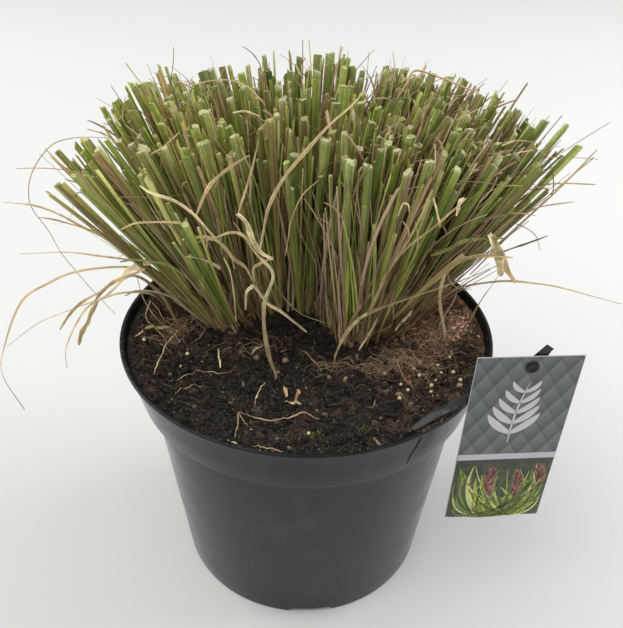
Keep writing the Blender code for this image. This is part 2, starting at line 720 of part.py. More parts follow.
def build_strap():
    """The strap, rooted in the soil, with a button through the card; returns its slot cutter."""
    frame = card_frame()
    on_card = [frame @ Vector((x, STRAP_BEHIND_CARD, z)) for x, z in (CARD_HOLE, STRAP_TIP)]
    route = np.vstack([np.array(STRAP_ROUTE_MM) * MM, on_card])
    axes = np.array(STRAP_WIDTH_AXES)
    widths = np.full(len(route), STRAP_WIDTH)
    widths[-1] = STRAP_WIDTH * 0.35
    strap = add_object("label_strap", lofted(strip_rings(route, widths, STRAP_THICKNESS, axes)),
                       "strap_plastic")
    front_y = -CARD_THICKNESS / 2 - BUTTON_GAP
    pin_y = front_y - BUTTON_THICKNESS / 2
    pin = card_disc(CARD_HOLE_RADIUS - BUTTON_GAP, pin_y, STRAP_BEHIND_CARD)
    boolean(strap, add_object("strap_pin", pin), "UNION")
    head = card_disc(BUTTON_RADIUS, front_y - BUTTON_THICKNESS, front_y)
    boolean(strap, add_object("strap_head", head), "UNION")
    foot = route[0] - (route[1] - route[0]) * STRAP_FOOT_SHARE
    in_soil = np.vstack([foot, route[1:4]])
    slot = strip_rings(in_soil, widths[:4], STRAP_THICKNESS, axes[:4], SLOT_GAP)
    return add_object("slot_strap", lofted(slot))


def build():
    clear_scene()
    build_pot()
    build_card()
    slots = build_dry_leaves()
    slots.append(build_strap())
    build_soil(slots)
    build_tufts()


build()
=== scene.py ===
"""The looks of a potted ornamental grass clump: cut stems, dry leaves, compost, pot and label.

Metres, +Z up, in the CAD frame: the pot's foot stands at the origin and the front faces -Y.
Lists of points marked MM are in millimetres.
"""

import math
from collections import namedtuple

import bpy
import numpy as np
from mathutils import Euler, Matrix, Vector


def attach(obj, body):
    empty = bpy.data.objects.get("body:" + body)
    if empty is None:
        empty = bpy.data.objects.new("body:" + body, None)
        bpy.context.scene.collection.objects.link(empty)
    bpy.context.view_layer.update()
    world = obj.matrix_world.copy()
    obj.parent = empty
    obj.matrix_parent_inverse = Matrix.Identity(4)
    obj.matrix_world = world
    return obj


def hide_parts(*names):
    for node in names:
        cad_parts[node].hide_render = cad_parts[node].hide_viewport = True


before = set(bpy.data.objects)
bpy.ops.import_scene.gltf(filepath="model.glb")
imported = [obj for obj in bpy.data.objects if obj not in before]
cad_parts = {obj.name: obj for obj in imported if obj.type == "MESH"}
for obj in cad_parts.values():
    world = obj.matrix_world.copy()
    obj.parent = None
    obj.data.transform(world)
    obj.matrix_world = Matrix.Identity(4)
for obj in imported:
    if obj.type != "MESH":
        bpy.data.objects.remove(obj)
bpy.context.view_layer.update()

MM = 0.001
UP = np.array([0.0, 0.0, 1.0])

# Camera, fitted to the pot's rim, collar and foot in the photograph
IMAGE_WIDTH = 623
IMAGE_HEIGHT = 628
FOCAL_PIXELS = 800.0
SENSOR_WIDTH = 36.0
CAMERA_PLACE = (0.00306, -0.45997, 0.52894)
CAMERA_PITCH = 0.6094
CAMERA_ROLL = 0.025

# Floor and light; each panel has a name, a place, a power and a colour
FLOOR_HALF = 6.0
SKY_STRENGTH = 0.60
SUN_POWER = 1.15
SUN_DIRECTION = (0.54, 0.33, -1.0)
PANEL_SIZE = 1.4
PANEL_AIM = (0, 0, 0.1)
PANELS = (
    ("left_panel", (-1.8, 0.7, 1.5), 19.0, (1.0, 1.0, 0.98)),
    ("right_panel", (1.8, 0.5, 1.5), 27.0, (0.97, 0.99, 1.0)),
)

# Pot, as in the CAD
POT_HEIGHT = 0.199
RIM_RADIUS = 0.130
COLLAR_BOTTOM_RADIUS = 0.1195
COLLAR_BOTTOM_Z = 0.1604
WALL_TOP_RADIUS = 0.1125
FOOT_RADIUS = 0.094
WALL = 0.0018
RIM_BEAD = 0.0010
RIM_BEAD_HEIGHT = 0.0035
FOOT_HEIGHT = 0.005
FOOT_RING_WIDTH = 0.008
FOOT_DRAFT = 0.002
BASE_THICKNESS = 0.0025
BASE_BOSS_RADIUS = 0.022
NOTCH_COUNT = 4
NOTCH_WIDTH = 0.030
NOTCH_HEIGHT = 0.0036
NOTCH_TURN = math.radians(5)
DRAIN_COUNT = 6
DRAIN_RADIUS = 0.005
DRAIN_CIRCLE_RADIUS = 0.060
POT_COLUMNS = 216

# A dark streak and compost crumbs on the pot: bearing and height down the streak; bearings and count
# of rim crumbs
COLLAR_STREAK = ((-56.1, 0.1925), (-56.5, 0.1835), (-57.3, 0.1759), (-57.6, 0.1676))
RIM_CRUMB_RANGES = ((-58, -34, 90), (-176, -150, 40), (-120, -66, 36))

# Soil and crown, as in the CAD
SOIL_Z = 0.185
SOIL_BANK = 0.009
SOIL_BANK_START = 0.094
SOIL_BANK_END = 0.123
SOIL_BANK_FRONT = (-0.095, -0.045)
BANK_RADIUS = 0.1236
WIDEST_SOIL = 0.1246
CROWN_OUTLINE_MM = (
    (-81, 44), (-80, 28), (-72, 11), (-60, 3), (-47, 7), (-34, 22), (-14, 28),
    (6, 23), (18, 5), (31, -7), (47, -4), (65, 6), (80, 22), (84, 44), (72, 68),
    (45, 85), (0, 93), (-45, 84), (-70, 66),
)
CROWN_CENTRE = np.array([0.0, 0.042])

# Tufts and stems, as in the CAD
SEED = 27
TUFT_COUNT = 46
STEMS_PER_TUFT = 4
STEM_BASE_RADIUS = 0.0026
STEM_TOP_RADIUS = 0.0047
STEM_CLEARANCE = 0.0005
LEAF_CLEARANCE = 0.0022
LEAST_BASE_RADIUS = 0.0016
LEAST_TOP_RADIUS = 0.0018
LEAD_ALLOWANCE = 0.0008
STEM_LENGTH_FRONT = 0.155
STEM_LENGTH_BACK = 0.168
STEM_SPREAD = np.array([11.8, 8.6])
LEAD_REACH = 0.016
TUFT_GRID = 0.0015
TUFT_MARGIN = 0.001
SPREAD_ROUNDS = 40
STEM_GRID = 0.0007
PACKING_TRIES = 60
THINNING_ROUNDS = 40
GAP_LEVELS = 28
LEAD_STEMS_MM = (
    ((-68, 12), (-160, -3, 305)),
    ((-64, 17), (-149, 2, 309)),
    ((-72, 20), (-146, 20, 309)),
    ((-74, 33), (-152, 36, 311)),
    ((-57, 9), (-101, -20, 322)),
    ((-50, 10), (-71, -55, 307)),
    ((-46, 17), (-75, -20, 341)),
    ((-41, 23), (-63, -18, 343)),
    ((-55, 50), (-112, 60, 350)),
    ((-79, 46), (-128, 50, 326)),
    ((-68, 66), (-120, 82, 342)),
    ((-22, 33), (-25, 0, 350)),
    ((-6, 31), (-9, -15, 335)),
    ((27, 0), (23, -38, 340)),
    ((35, -1), (33, -38, 340)),
    ((43, 5), (51, -20, 341)),
    ((49, 1), (70, -25, 336)),
    ((54, 8), (88, -20, 330)),
    ((61, 7), (126, 4, 314)),
    ((58, 20), (94, 0, 333)),
    ((76, 27), (176, 36, 322)),
    ((78, 40), (170, 52, 330)),
    ((79, 48), (158, 60, 330)),
    ((75, 57), (144, 74, 332)),
    ((69, 65), (128, 84, 338)),
    ((0, 76), (3, 106, 356)),
    ((56, 64), (95, 90, 348)),
)

# Shares of a stem's length where its rings lie, how far cut ends slant, and the patterns
STEM_STATIONS = np.array([0, 0.08, 0.2, 0.35, 0.5, 0.65, 0.8, 0.92, 0.985, 1.0])
STEM_FOOT = -0.03
SLANT_RANGE = (-0.0016, 0.0030)
PATTERN_LENGTH = 0.15
PATTERN_SHIFT = 0.37

# Dry leaves, as in the CAD: name, width, bearing of the flat, route from the soil to the tip
LEAF_ROOT_DEPTH = 0.009
DRY_LEAVES_MM = (
    ("left_long", 3.2, 90, (
        (-96, 36, 188), (-116, 34, 215), (-133, 32, 223), (-167, 28, 221), (-188, 24, 213),
        (-209, 18, 199), (-226, 10, 161), (-229, 6, 139), (-216, 0, 111))),
    ("left_low", 2.6, 90, (
        (-99, 24, 188), (-113, 23, 206), (-133, 20, 209), (-153, 17, 203), (-174, 13, 196),
        (-195, 8, 188), (-218, 0, 172))),
    ("left_drop", 3.0, 90, (
        (-94, 12, 188), (-104, 11, 214), (-122, 10, 230), (-141, 4, 217), (-157, 0, 206),
        (-171, -8, 180), (-173, -10, 161))),
    ("left_level", 2.4, 90, (
        (-96, 48, 188), (-112, 47, 210), (-129, 46, 220), (-156, 44, 225), (-179, 42, 228),
        (-210, 38, 228))),
    ("right_long", 3.0, 90, (
        (99, 46, 188), (108, 45, 200), (120, 44, 206), (143, 40, 213), (163, 36, 215),
        (182, 32, 215), (212, 26, 210), (227, 22, 208))),
    ("right_rim", 2.2, 90, (
        (116, 13, 190), (120, 13, 204), (125, 12, 219), (131, 10, 236))),
    ("front_right", 3.2, 90, (
        (20, -22, 188), (26, -22, 205), (36, -22, 220), (49, -22, 229), (69, -21, 238),
        (102, -17, 250), (123, -12, 258))),
    ("front_hanging", 3.0, 0, (
        (-20, -44, 188), (-24, -44, 203), (-27, -46, 229), (-26, -46, 248), (-21, -45, 268),
        (-32, -42, 281), (-44, -44, 303))),
    ("back_left", 2.8, 0, (
        (-38, 101, 188), (-46, 116, 214), (-62, 139, 232), (-86, 166, 226), (-104, 186, 205),
        (-112, 196, 178))),
    ("back_right", 2.8, 0, (
        (46, 99, 188), (54, 114, 212), (70, 140, 228), (92, 170, 222), (112, 192, 204))),
)

# Single fine leaves, and roots on the soil: colour, width, route
FINE_LEAVES_MM = (
    ("tan", 2.6, ((-76, -40, 288), (-71, -41, 290), (-60, -41, 291), (-53, -39, 286),
        (-46, -36, 273), (-39, -33, 265), (-34, -29, 250))),
    ("tan", 2.0, ((-56, -47, 293), (-49, -49, 298), (-43, -49, 299), (-38, -48, 296),
        (-32, -45, 287), (-29, -45, 283))),
    ("pale", 4.2, ((-41, -53, 313), (-36, -51, 306), (-34, -49, 298), (-32, -46, 290),
        (-28, -44, 283), (-21, -43, 278))),
    ("tan", 2.2, ((-21, -43, 279), (-30, -42, 273), (-34, -40, 268), (-33, -37, 257))),
    ("pale", 2.8, ((-40, -29, 230), (-39, -34, 246), (-36, -36, 252), (-33, -35, 252),
        (-25, -32, 238), (-18, -29, 231), (-8, -26, 219), (0, -23, 209))),
    ("grey", 1.0, ((-21, -29, 251), (-14, -25, 236), (-3, -21, 222), (13, -18, 213))),
    ("pale", 2.2, ((-95, -52, 329), (-90, -50, 324), (-77, -48, 318), (-67, -45, 307),
        (-59, -42, 295), (-53, -39, 285))),
    ("tan", 1.8, ((-112, -42, 295), (-103, -43, 300), (-93, -44, 302), (-78, -44, 302),
        (-72, -43, 299))),
    ("grey", 1.4, ((-54, -45, 305), (-53, -42, 295), (-53, -39, 285), (-53, -36, 275))),
    ("green", 1.8, ((-122, -17, 257), (-111, -17, 259), (-92, -17, 256), (-80, -15, 245),
        (-71, -13, 228))),
    ("grey", 1.8, ((-123, -13, 228), (-113, -14, 233), (-94, -13, 229), (-83, -12, 219),
        (-71, -11, 206))),
    ("pale", 1.2, ((-51, -43, 278), (-48, -39, 264), (-47, -33, 245), (-47, -25, 218))),
    ("tan", 1.0, ((-14, -36, 276), (-12, -40, 290), (-10, -45, 306), (-4, -50, 324),
        (5, -54, 336))),
    ("brown", 1.0, ((-7, -48, 318), (-6, -43, 300), (1, -38, 280), (5, -35, 270), (6, -28, 246),
        (7, -20, 218))),
    ("pale", 2.4, ((93, -14, 261), (91, -13, 256), (89, -12, 243), (89, -11, 231), (92, -9, 217),
        (96, -8, 202), (97, -7, 193))),
    ("pink", 1.2, ((100, -12, 242), (99, -10, 228), (93, -8, 210), (90, -7, 189))),
    ("pale", 8.0, ((114, -16, 284), (119, -15, 275), (123, -14, 265), (127, -13, 251))),
    ("tan", 6.4, ((116, -16, 282), (123, -14, 269), (130, -13, 258), (138, -12, 246))),
    ("pale", 2.4, ((62, -8, 201), (67, -9, 211), (72, -9, 219))),
    ("tan", 2.2, ((40, -20, 220), (42, -23, 230), (51, -34, 268), (62, -44, 301), (69, -52, 331))),
    ("tan", 1.6, ((46, -30, 253), (59, -39, 284), (74, -45, 304), (89, -51, 326))),
    ("pale", 1.2, ((51, -54, 315), (52, -55, 320), (53, -56, 324), (56, -56, 323),
        (57, -55, 318))),
    ("tan", 1.0, ((55, -45, 307), (59, -43, 300), (61, -40, 287))),
    ("tan", 0.9, ((62, -45, 307), (65, -43, 297), (66, -40, 289), (65, -37, 279))),
    ("pale", 2.4, ((84, -54, 316), (84, -56, 322), (84, -57, 327), (86, -58, 329),
        (85, -56, 324))),
    ("tan", 3.4, ((83, -12, 243), (88, -13, 251), (96, -13, 259), (105, -14, 265), (117, -14, 267),
        (132, -14, 266))),
    ("green", 3.0, ((79, -14, 266), (91, -15, 272), (100, -15, 278), (123, -16, 281))),
    ("pale", 1.6, ((69, -58, 329), (73, -55, 318), (76, -51, 307))),
    ("pink", 1.0, ((-113, -15, 246), (-111, -13, 228), (-106, -12, 214), (-98, -10, 198))),
    ("brown", 0.7, ((-92, 70, 370), (-93, 70, 360), (-96, 70, 346), (-99, 70, 330))),
    ("brown", 0.8, ((-49, 90, 366), (-43, 90, 362), (-37, 90, 354), (-35, 90, 343))),
    ("tan", 1.4, ((-77, 47, 353), (-67, 53, 354), (-54, 53, 355), (-42, 47, 353), (-31, 28, 350))),
    ("tan", 1.2, ((-145, 30, 328), (-137, 30, 326), (-131, 30, 323), (-126, 30, 317))),
    ("tan", 1.4, ((-100, -10, 319), (-97, -10, 328), (-89, -10, 334), (-78, -10, 344))),
    ("tan", 2.4, ((-64, -55, 313), (-60, -55, 323), (-55, -55, 332), (-46, -55, 341),
        (-33, -55, 350))),
    ("tan", 1.6, ((-41, -50, 311), (-38, -50, 321), (-33, -50, 336), (-28, -50, 357))),
    ("pale", 1.4, ((-47, 0, 353), (-39, 0, 354), (-31, 0, 351))),
    ("tan", 2.4, ((-28, -50, 288), (-26, -48, 300), (-23, -44, 314), (-15, -38, 329),
        (-3, -30, 342), (10, -19, 354), (22, -7, 361), (30, 5, 365))),
    ("pale", 7.0, ((-129, 2, 230), (-122, 2, 240), (-112, 2, 246), (-102, 2, 246))),
    ("tan", 3.2, ((-107, 2, 246), (-96, 4, 243), (-88, 6, 234), (-82, 8, 222))),
    ("tan", 3.4, ((-110, -2, 243), (-127, -2, 235), (-138, -2, 227), (-149, -2, 214))),
    ("tan", 2.6, ((-139, -2, 226), (-157, -2, 214), (-167, -2, 203), (-176, -2, 190))),
    ("tan", 1.6, ((55, 50, 345), (60, 50, 355), (64, 50, 364), (72, 50, 364), (95, 50, 356),
        (106, 50, 352))),
    ("brown", 0.9, ((161, 30, 286), (163, 30, 293), (161, 30, 304), (156, 30, 315))),
    ("brown", 0.7, ((127, 0, 284), (137, 0, 282), (148, 0, 275), (153, 0, 264))),
    ("tan", 1.2, ((-106, -13, 225), (-111, -11, 209), (-104, -9, 196), (-98, -8, 186))),
    ("tan", 3.6, ((-117, 20, 235), (-123, 20, 231), (-128, 20, 226), (-133, 20, 220))),
    ("tan", 1.8, ((114, 20, 231), (134, 20, 260), (153, 20, 285), (169, 20, 307), (182, 20, 327))),
    ("brown", 1.6, ((127, 0, 261), (142, 0, 268), (156, 0, 275))),
    ("tan", 1.4, ((148, 30, 293), (161, 28, 299), (189, 26, 300))),
    ("tan", 1.2, ((139, 20, 275), (152, 18, 286), (174, 16, 292))),
    ("tan", 1.0, ((-136, 50, 314), (-156, 50, 314), (-173, 50, 310), (-184, 50, 301),
        (-194, 50, 287), (-199, 50, 273), (-199, 50, 259), (-190, 50, 241), (-184, 50, 223),
        (-175, 50, 207), (-165, 50, 190), (-150, 50, 168))),
    ("pale", 2.0, ((-128, 36, 226), (-145, 34, 245), (-159, 32, 255), (-174, 30, 266),
        (-190, 28, 273), (-208, 26, 276))),
    ("tan", 1.4, ((-136, 30, 249), (-155, 28, 256), (-174, 26, 263), (-186, 24, 266))),
    ("tan", 4.6, ((-146, 0, 214), (-155, 0, 199), (-161, 0, 187), (-165, 0, 175))),
)
ROOTS_MM = (
    ("pink", 1.2, ((-46, -76), (-40, -81), (-34, -83), (-28, -87), (-20, -88), (-13, -86),
        (-6, -83), (2, -82), (10, -84))),
    ("pink", 0.8, ((-43, -79), (-40, -85), (-35, -92))),
    ("tan", 0.8, ((-42, -82), (-41, -92), (-42, -102))),
    ("tan", 0.6, ((-91, -57), (-85, -51), (-76, -44), (-66, -41), (-57, -44), (-51, -40),
        (-47, -30))),
    ("pale", 0.7, ((-32, -71), (-31, -62), (-29, -55), (-27, -49))),
    ("tan", 3.0, ((-15, -50), (-13, -57), (-12, -64))),
    ("pink", 2.6, ((-5, -57), (-4, -63), (-6, -68))),
    ("tan", 2.4, ((-13, -69), (-8, -72), (-2, -71))),
    ("pale", 2.0, ((-38, -18), (-35, -14), (-31, -11))),
    ("pale", 1.8, ((-62, -12), (-60, -24), (-58, -35))),
    ("tan", 2.6, ((-120, -11), (-112, 1), (-99, 6), (-88, 9))),
    ("pale", 1.0, ((-100, -51), (-99, -32), (-97, -7), (-92, 10))),
    ("pink", 0.9, ((-117, 32), (-108, 20), (-101, 10))),
    ("pale", 0.8, ((-49, -105), (-42, -108), (-38, -111))),
    ("tan", 0.7, ((-32, -109), (-20, -113), (-7, -115))),
    ("pink", 0.9, ((-4, -15), (4, -26), (10, -33))),
    ("grey", 0.7, ((-82, -12), (-73, 4), (-68, 17))),
    ("tan", 0.6, ((-84, -66), (-75, -58), (-67, -54))),
    ("pink", 0.8, ((68, -5), (74, -14), (79, -25), (86, -35))),
    ("pink", 0.8, ((60, -12), (62, -25), (65, -36), (72, -51))),
    ("pink", 1.2, ((77, -11), (84, -5), (93, -1), (100, 4))),
)

# Loose matter among the stems; straws have a number, a count and how far they stray
STRAW_GROUPS = ((1, 640, 0.0), (2, 640, 0.3), (3, 360, 0.8))
CROSSING_BLADE_COUNT = 260
DEAD_BLADE_COUNT = 580
SHREDDED_TIP_COUNT = 860
CURLED_FIBRE_COUNT = 240
LITTER_COUNT = 1100

# The soil's mesh and the loose matter on it; tangles have a middle, a spread and a count
OPEN_SOIL_MARGIN = 0.004
SOIL_RINGS = 170
SOIL_COLUMNS = 440
CRUMB_COUNT = 8600
FIBRE_COUNT = 3200
PINK_BIT_COUNT = 330
PINK_BITS_MM = (104, 15)
PINK_BITS_SPREAD = np.array([0.0065, 0.0075])
MOSS_MM = ((5, -99), (9, -97), (38, -92), (36, -96), (-22, -30), (60, -22))
MOSS_LEAVES = 26
BEADS_MM = ((84, -50), (83, -56), (88, -43), (94, -47), (77, -38), (62, -61), (100, -37),
            (70, -21), (71, -25), (74, -31), (80, -20), (79, -23), (91, -27), (100, -18),
            (100, -6), (102, -52), (68, -54), (54, -34), (-82, -23), (-85, -34), (3, -97),
            (-113, -15), (64, -47), (92, -36), (87, -60))
TANGLES_MM = ((48, -30, 12, 6, 100), (64, -22, 12, 7, 80), (92, 4, 13, 16, 230),
              (84, -26, 14, 14, 60), (100, 22, 8, 12, 90), (-96, 6, 10, 16, 110),
              (-40, -14, 12, 6, 40), (14, -30, 10, 5, 30))

# Label card and strap, as in the CAD
CARD_WIDTH = 0.066
CARD_HEIGHT = 0.146
CARD_THICKNESS = 0.0008
CARD_CENTRE = (0.1330, -0.0822, 0.1680)
CARD_TURN = (math.radians(2.4), math.radians(0.5), math.radians(5.4))
CARD_HOLE = (0.0015, CARD_HEIGHT / 2 - 0.008)
CARD_HOLE_RADIUS = 0.003
STRAP_WIDTH = 0.0064
STRAP_THICKNESS = 0.0012
BUTTON_RADIUS = 0.0042
BUTTON_THICKNESS = 0.0012
BUTTON_GAP = 0.0005
BUTTON_COLUMNS = 28
STRAP_BEHIND_CARD = 0.0019
STRAP_TIP = (0.0105, 0.0784)
STRAP_ROUTE_MM = (
    (57, -96, 182), (66, -92, 185), (79, -89.2, 195), (88, -88.6, 201.4),
    (99, -83.6, 204.6), (116, -82, 215),
)
STRAP_WIDTH_AXES = (
    (-0.36, 0.88, 0.30), (-0.36, 0.88, 0.30), (-0.34, 0.90, 0.25), (-0.28, 0.93, 0.18),
    (-0.42, 0.45, 0.78), (-0.50, 0.30, 0.80), (-0.66, 0.0, 0.75), (-0.81, 0.0, 0.58),
)

# The card's print; each plume has a place across, a height and a drop
CARD_FRONT = -CARD_THICKNESS / 2
PRINT_LAYER = 0.00007
PICTURE_Z = CARD_HEIGHT / 2 - 0.632 * CARD_HEIGHT
PLUME_HEADS = np.array([(-0.021, 0.026, 0.012), (-0.006, 0.034, 0.002), (0.010, 0.031, 0.007),
                        (0.024, 0.024, 0.001)])
PLUME_BRISTLES = 190


def paint(red, green, blue):
    """A screen colour of 0 to 255 as the linear light that a shader takes."""
    screen = np.array([red, green, blue], float) / 255
    return np.where(screen <= 0.04045, screen / 12.92, ((screen + 0.055) / 1.055) ** 2.4)


def paints(*colours):
    """Several screen colours as the rows of one array."""
    return np.array([paint(*colour) for colour in colours])


# Colours
GREENS = paints((154, 170, 71), (130, 150, 61), (172, 180, 97), (106, 130, 57),
                (178, 184, 112), (150, 154, 80), (142, 138, 78))
OLIVE = paint(138, 134, 66)
PURPLE_BROWN = paint(140, 118, 86)
PALE_PITH = paint(216, 214, 172)
DRY_TANS = paints((180, 158, 120), (158, 134, 98), (136, 112, 84), (194, 176, 136),
                  (118, 98, 74), (146, 132, 110), (170, 136, 110))
SHEATH_TANS = paints((176, 154, 108), (152, 130, 86), (130, 108, 70))
WARM_TANS = paints((204, 174, 142), (184, 152, 122), (160, 130, 100), (214, 192, 158),
                   (142, 118, 88), (176, 156, 124))
LITTER_TANS = paints((172, 144, 108), (140, 116, 86), (196, 172, 130), (124, 104, 82))
FIBRE_BROWNS = paints((96, 78, 60), (134, 112, 86), (72, 58, 46), (168, 144, 112), (134, 104, 88))
TANGLE_TANS = paints((194, 168, 134), (166, 138, 110), (212, 188, 152), (196, 154, 132),
                     (130, 108, 84))
LEAF_COLOURS = {
    "tan": paint(200, 176, 128),
    "pale": paint(236, 216, 170),
    "grey": paint(152, 148, 118),
    "brown": paint(128, 108, 80),
    "pink": paint(190, 152, 124),
    "green": paint(142, 152, 84),
}
PRINT_GREENS = paints((158, 176, 66), (116, 144, 58), (190, 202, 108), (84, 106, 54),
                      (204, 210, 134))
PRINT_PINKS = paints((176, 118, 110), (134, 82, 82), (204, 158, 142), (112, 66, 68))
STRAP_BLACK = paint(28, 30, 31)
STREAK_DARK = paint(34, 32, 30)


# Numbers and curves


def smooth_step(low, high, value):
    """0 below low, 1 above high, and the cubic 3s^2 - 2s^3 between them."""
    share = np.clip((value - low) / (high - low), 0, 1)
    return share * share * (3 - 2 * share)


def mixed(low, high, share):
    """The value a share of the way from low to high."""
    return low + (high - low) * share


def unit(vectors):
    """The same directions at length 1."""
    return vectors / np.maximum(np.linalg.norm(vectors, axis=-1, keepdims=True), 1e-12)


def level_directions(bearing):
    """Unit vectors that lie level, at the given bearings."""
    return np.stack([np.cos(bearing), np.sin(bearing), 0 * bearing], axis=-1)


def round_angles(count):
    """Bearings evenly round the circle, from 0."""
    return np.arange(count) * 2 * math.pi / count


def polar(radius, angle, z):
    """Points at a radius and a bearing from the pot's axis, at height z."""
    flat = (radius * np.cos(angle), radius * np.sin(angle))
    return np.stack(np.broadcast_arrays(*flat, z), axis=-1)


def there_and_back(values, axis=0):
    """Values along a blade's back and then, in reverse, along its front."""
    return np.concatenate([values, np.flip(values, axis)], axis=axis)


def lattice_noise(x, y, seed, period=64):
    """Value noise from -1 to 1: random heights at whole numbers, joined by cubic steps."""
    heights = np.random.default_rng(seed).uniform(-1, 1, (period, period))
    left = np.floor(x).astype(int)
    low = np.floor(y).astype(int)
    across = smooth_step(0, 1, x - left)
    along = smooth_step(0, 1, y - low)
    corner = [heights[(left + i) % period, (low + j) % period] for i in (0, 1) for j in (0, 1)]
    near = mixed(corner[0], corner[1], along)
    far = mixed(corner[2], corner[3], along)
    return mixed(near, far, across)


def layered_noise(x, y, size, seed, octaves=4):
    """Octaves of lattice noise: each is half as large and half as strong as the last."""
    total = 0.0
    for i in range(octaves):
        scale = 2 ** i / size
        total = total + lattice_noise(x * scale + 7.3 * i, y * scale - 3.1 * i, seed + i) / 2 ** i
    return total / 1.8


def smooth_path(points, count, closed=False):
    """Points at even parameters along the Catmull-Rom curve through the given points."""
    points = np.asarray(points, float)
    if closed:
        padded = np.vstack([points[-1:], points, points[:2]])
    else:
        padded = np.vstack([2 * points[0] - points[1], points, 2 * points[-1] - points[-2]])
    spans = len(padded) - 3
    at = np.linspace(0, spans, count, endpoint=not closed)
    span = np.minimum(at.astype(int), spans - 1)
    t = (at - span)[:, None]
    a, b, c, d = (padded[span + shift] for shift in range(4))
    return 0.5 * (2 * b + (c - a) * t + (2 * a - 5 * b + 4 * c - d) * t ** 2
                  + (3 * b - a - 3 * c + d) * t ** 3)


def shades_of(colours, rng, count, low, high):
    """One of the colours for each strand, darkened or lightened by a random share."""
    return colours[rng.integers(0, len(colours), count)] * rng.uniform(low, high, (count, 1))


def rolling_sides(rng, count, share, amount):
    """Level width directions for ribbons: each starts at a random bearing and rolls evenly."""
    twist = rng.uniform(0, 6.28, (count, 1)) + share * rng.normal(0, amount, (count, 1))
    return level_directions(twist)


# Where the stems stand, as in the CAD
StemLayout = namedtuple("StemLayout", "tufts bases tips low high turn")


def crown_outline(count=120):
    """The crown's smooth outline on the ground."""
    return smooth_path(np.array(CROWN_OUTLINE_MM) * MM, count, closed=True)


def depth_inside(points, outline):
    """Distance of each point to the outline, positive inside it and negative outside."""
    start = outline
    end = np.roll(outline, -1, axis=0)
    along = end - start
    to_point = points[:, None, :] - start[None]
    share = (to_point * along).sum(-1) / (along ** 2).sum(-1)
    nearest = start + np.clip(share, 0, 1)[..., None] * along
    distance = np.linalg.norm(points[:, None, :] - nearest, axis=-1).min(axis=1)
    rises = (start[:, 1] > points[:, None, 1]) != (end[:, 1] > points[:, None, 1])
    height = np.where(along[:, 1] == 0, 1.0, along[:, 1])
    crossing = start[:, 0] + (points[:, None, 1] - start[:, 1]) * along[:, 0] / height
    inside = (rises & (points[:, None, 0] < crossing)).sum(axis=1) % 2 == 1
    return np.where(inside, distance, -distance)


def grid_inside(outline, spacing, margin):
    """Even grid points that lie at least margin inside the outline."""
    low = outline.min(axis=0)
    high = outline.max(axis=0)
    x, y = np.meshgrid(np.arange(low[0], high[0], spacing), np.arange(low[1], high[1], spacing))
    points = np.stack([x.ravel(), y.ravel()], axis=1)
    return points[depth_inside(points, outline) > margin]


def tuft_centres(outline):
    """Evenly spread centres: each moves to the middle of the ground nearest to it."""
    ground = grid_inside(outline, TUFT_GRID, TUFT_MARGIN)
    picks = [ground[0]]
    nearest = np.linalg.norm(ground - picks[0], axis=1)
    while len(picks) < TUFT_COUNT:
        picks.append(ground[nearest.argmax()])
        nearest = np.minimum(nearest, np.linalg.norm(ground - picks[-1], axis=1))
    centres = np.array(picks)
    for _ in range(SPREAD_ROUNDS):
        owner = np.linalg.norm(ground[:, None] - centres[None], axis=-1).argmin(axis=1)
        centres = np.array([ground[owner == i].mean(axis=0) for i in range(TUFT_COUNT)])
    return centres[np.lexsort((centres[:, 0], centres[:, 1].round(2)))]


def cell_depth(points, centres, index):
    """Distance of each point to the nearest border of one tuft's ground, negative outside."""
    own = centres[index]
    others = np.delete(centres, index, axis=0)
    towards = others - own
    length = np.linalg.norm(towards, axis=1)
    middle = (others + own) / 2
    return (((middle - points[:, None, :]) * towards).sum(-1) / length).min(axis=1)


def base_slope(base):
    """Horizontal travel for each unit of height: stems lean away from the crown's centre."""
    return (base - CROWN_CENTRE) * STEM_SPREAD


def at_soil(places):
    """Level places with the soil's height added."""
    return np.column_stack([places, np.full(len(places), SOIL_Z)])


def dry_leaf_curve(route_mm, count):
    """Points along a dry leaf's smooth curve."""
    return smooth_path(np.array(route_mm, float) * MM, count)


def stem_bases(outline, centres, rng):
    """Stand the lead stems first, then fill each tuft's ground with as many as it takes."""
    margin = STEM_BASE_RADIUS + 0.0004
    spacing = 2 * STEM_BASE_RADIUS + 0.0003
    ground = grid_inside(outline, STEM_GRID, margin)
    owner = np.linalg.norm(ground[:, None] - centres[None], axis=-1).argmin(axis=1)
    room = np.empty(len(ground))
    for i in range(TUFT_COUNT):
        room[owner == i] = cell_depth(ground[owner == i], centres, i)
    keep = room > margin
    ground = ground[keep]
    owner = owner[keep]
    bases = []
    tufts = []
    for base_mm, _ in LEAD_STEMS_MM:
        distance = np.linalg.norm(ground - np.array(base_mm) * MM, axis=1)
        for taken in bases:
            distance[np.linalg.norm(ground - taken, axis=1) < spacing] = np.inf
        nearest = distance.argmin()
        bases.append(ground[nearest])
        tufts.append(owner[nearest])
    for i in range(TUFT_COUNT):
        cell = ground[owner == i]
        taken = [base for base, tuft in zip(bases, tufts) if tuft == i]
        best = []
        for _ in range(PACKING_TRIES):
            picked = []
            for point in cell[rng.permutation(len(cell))]:
                apart = [np.linalg.norm(point - other) for other in taken + picked]
                if min(apart, default=1.0) >= spacing:
                    picked.append(point)
                if len(taken) + len(picked) > STEMS_PER_TUFT:
                    break
            if len(picked) > len(best):
                best = picked
        bases += best
        tufts += [i] * len(best)
    return np.array(bases), np.array(tufts)


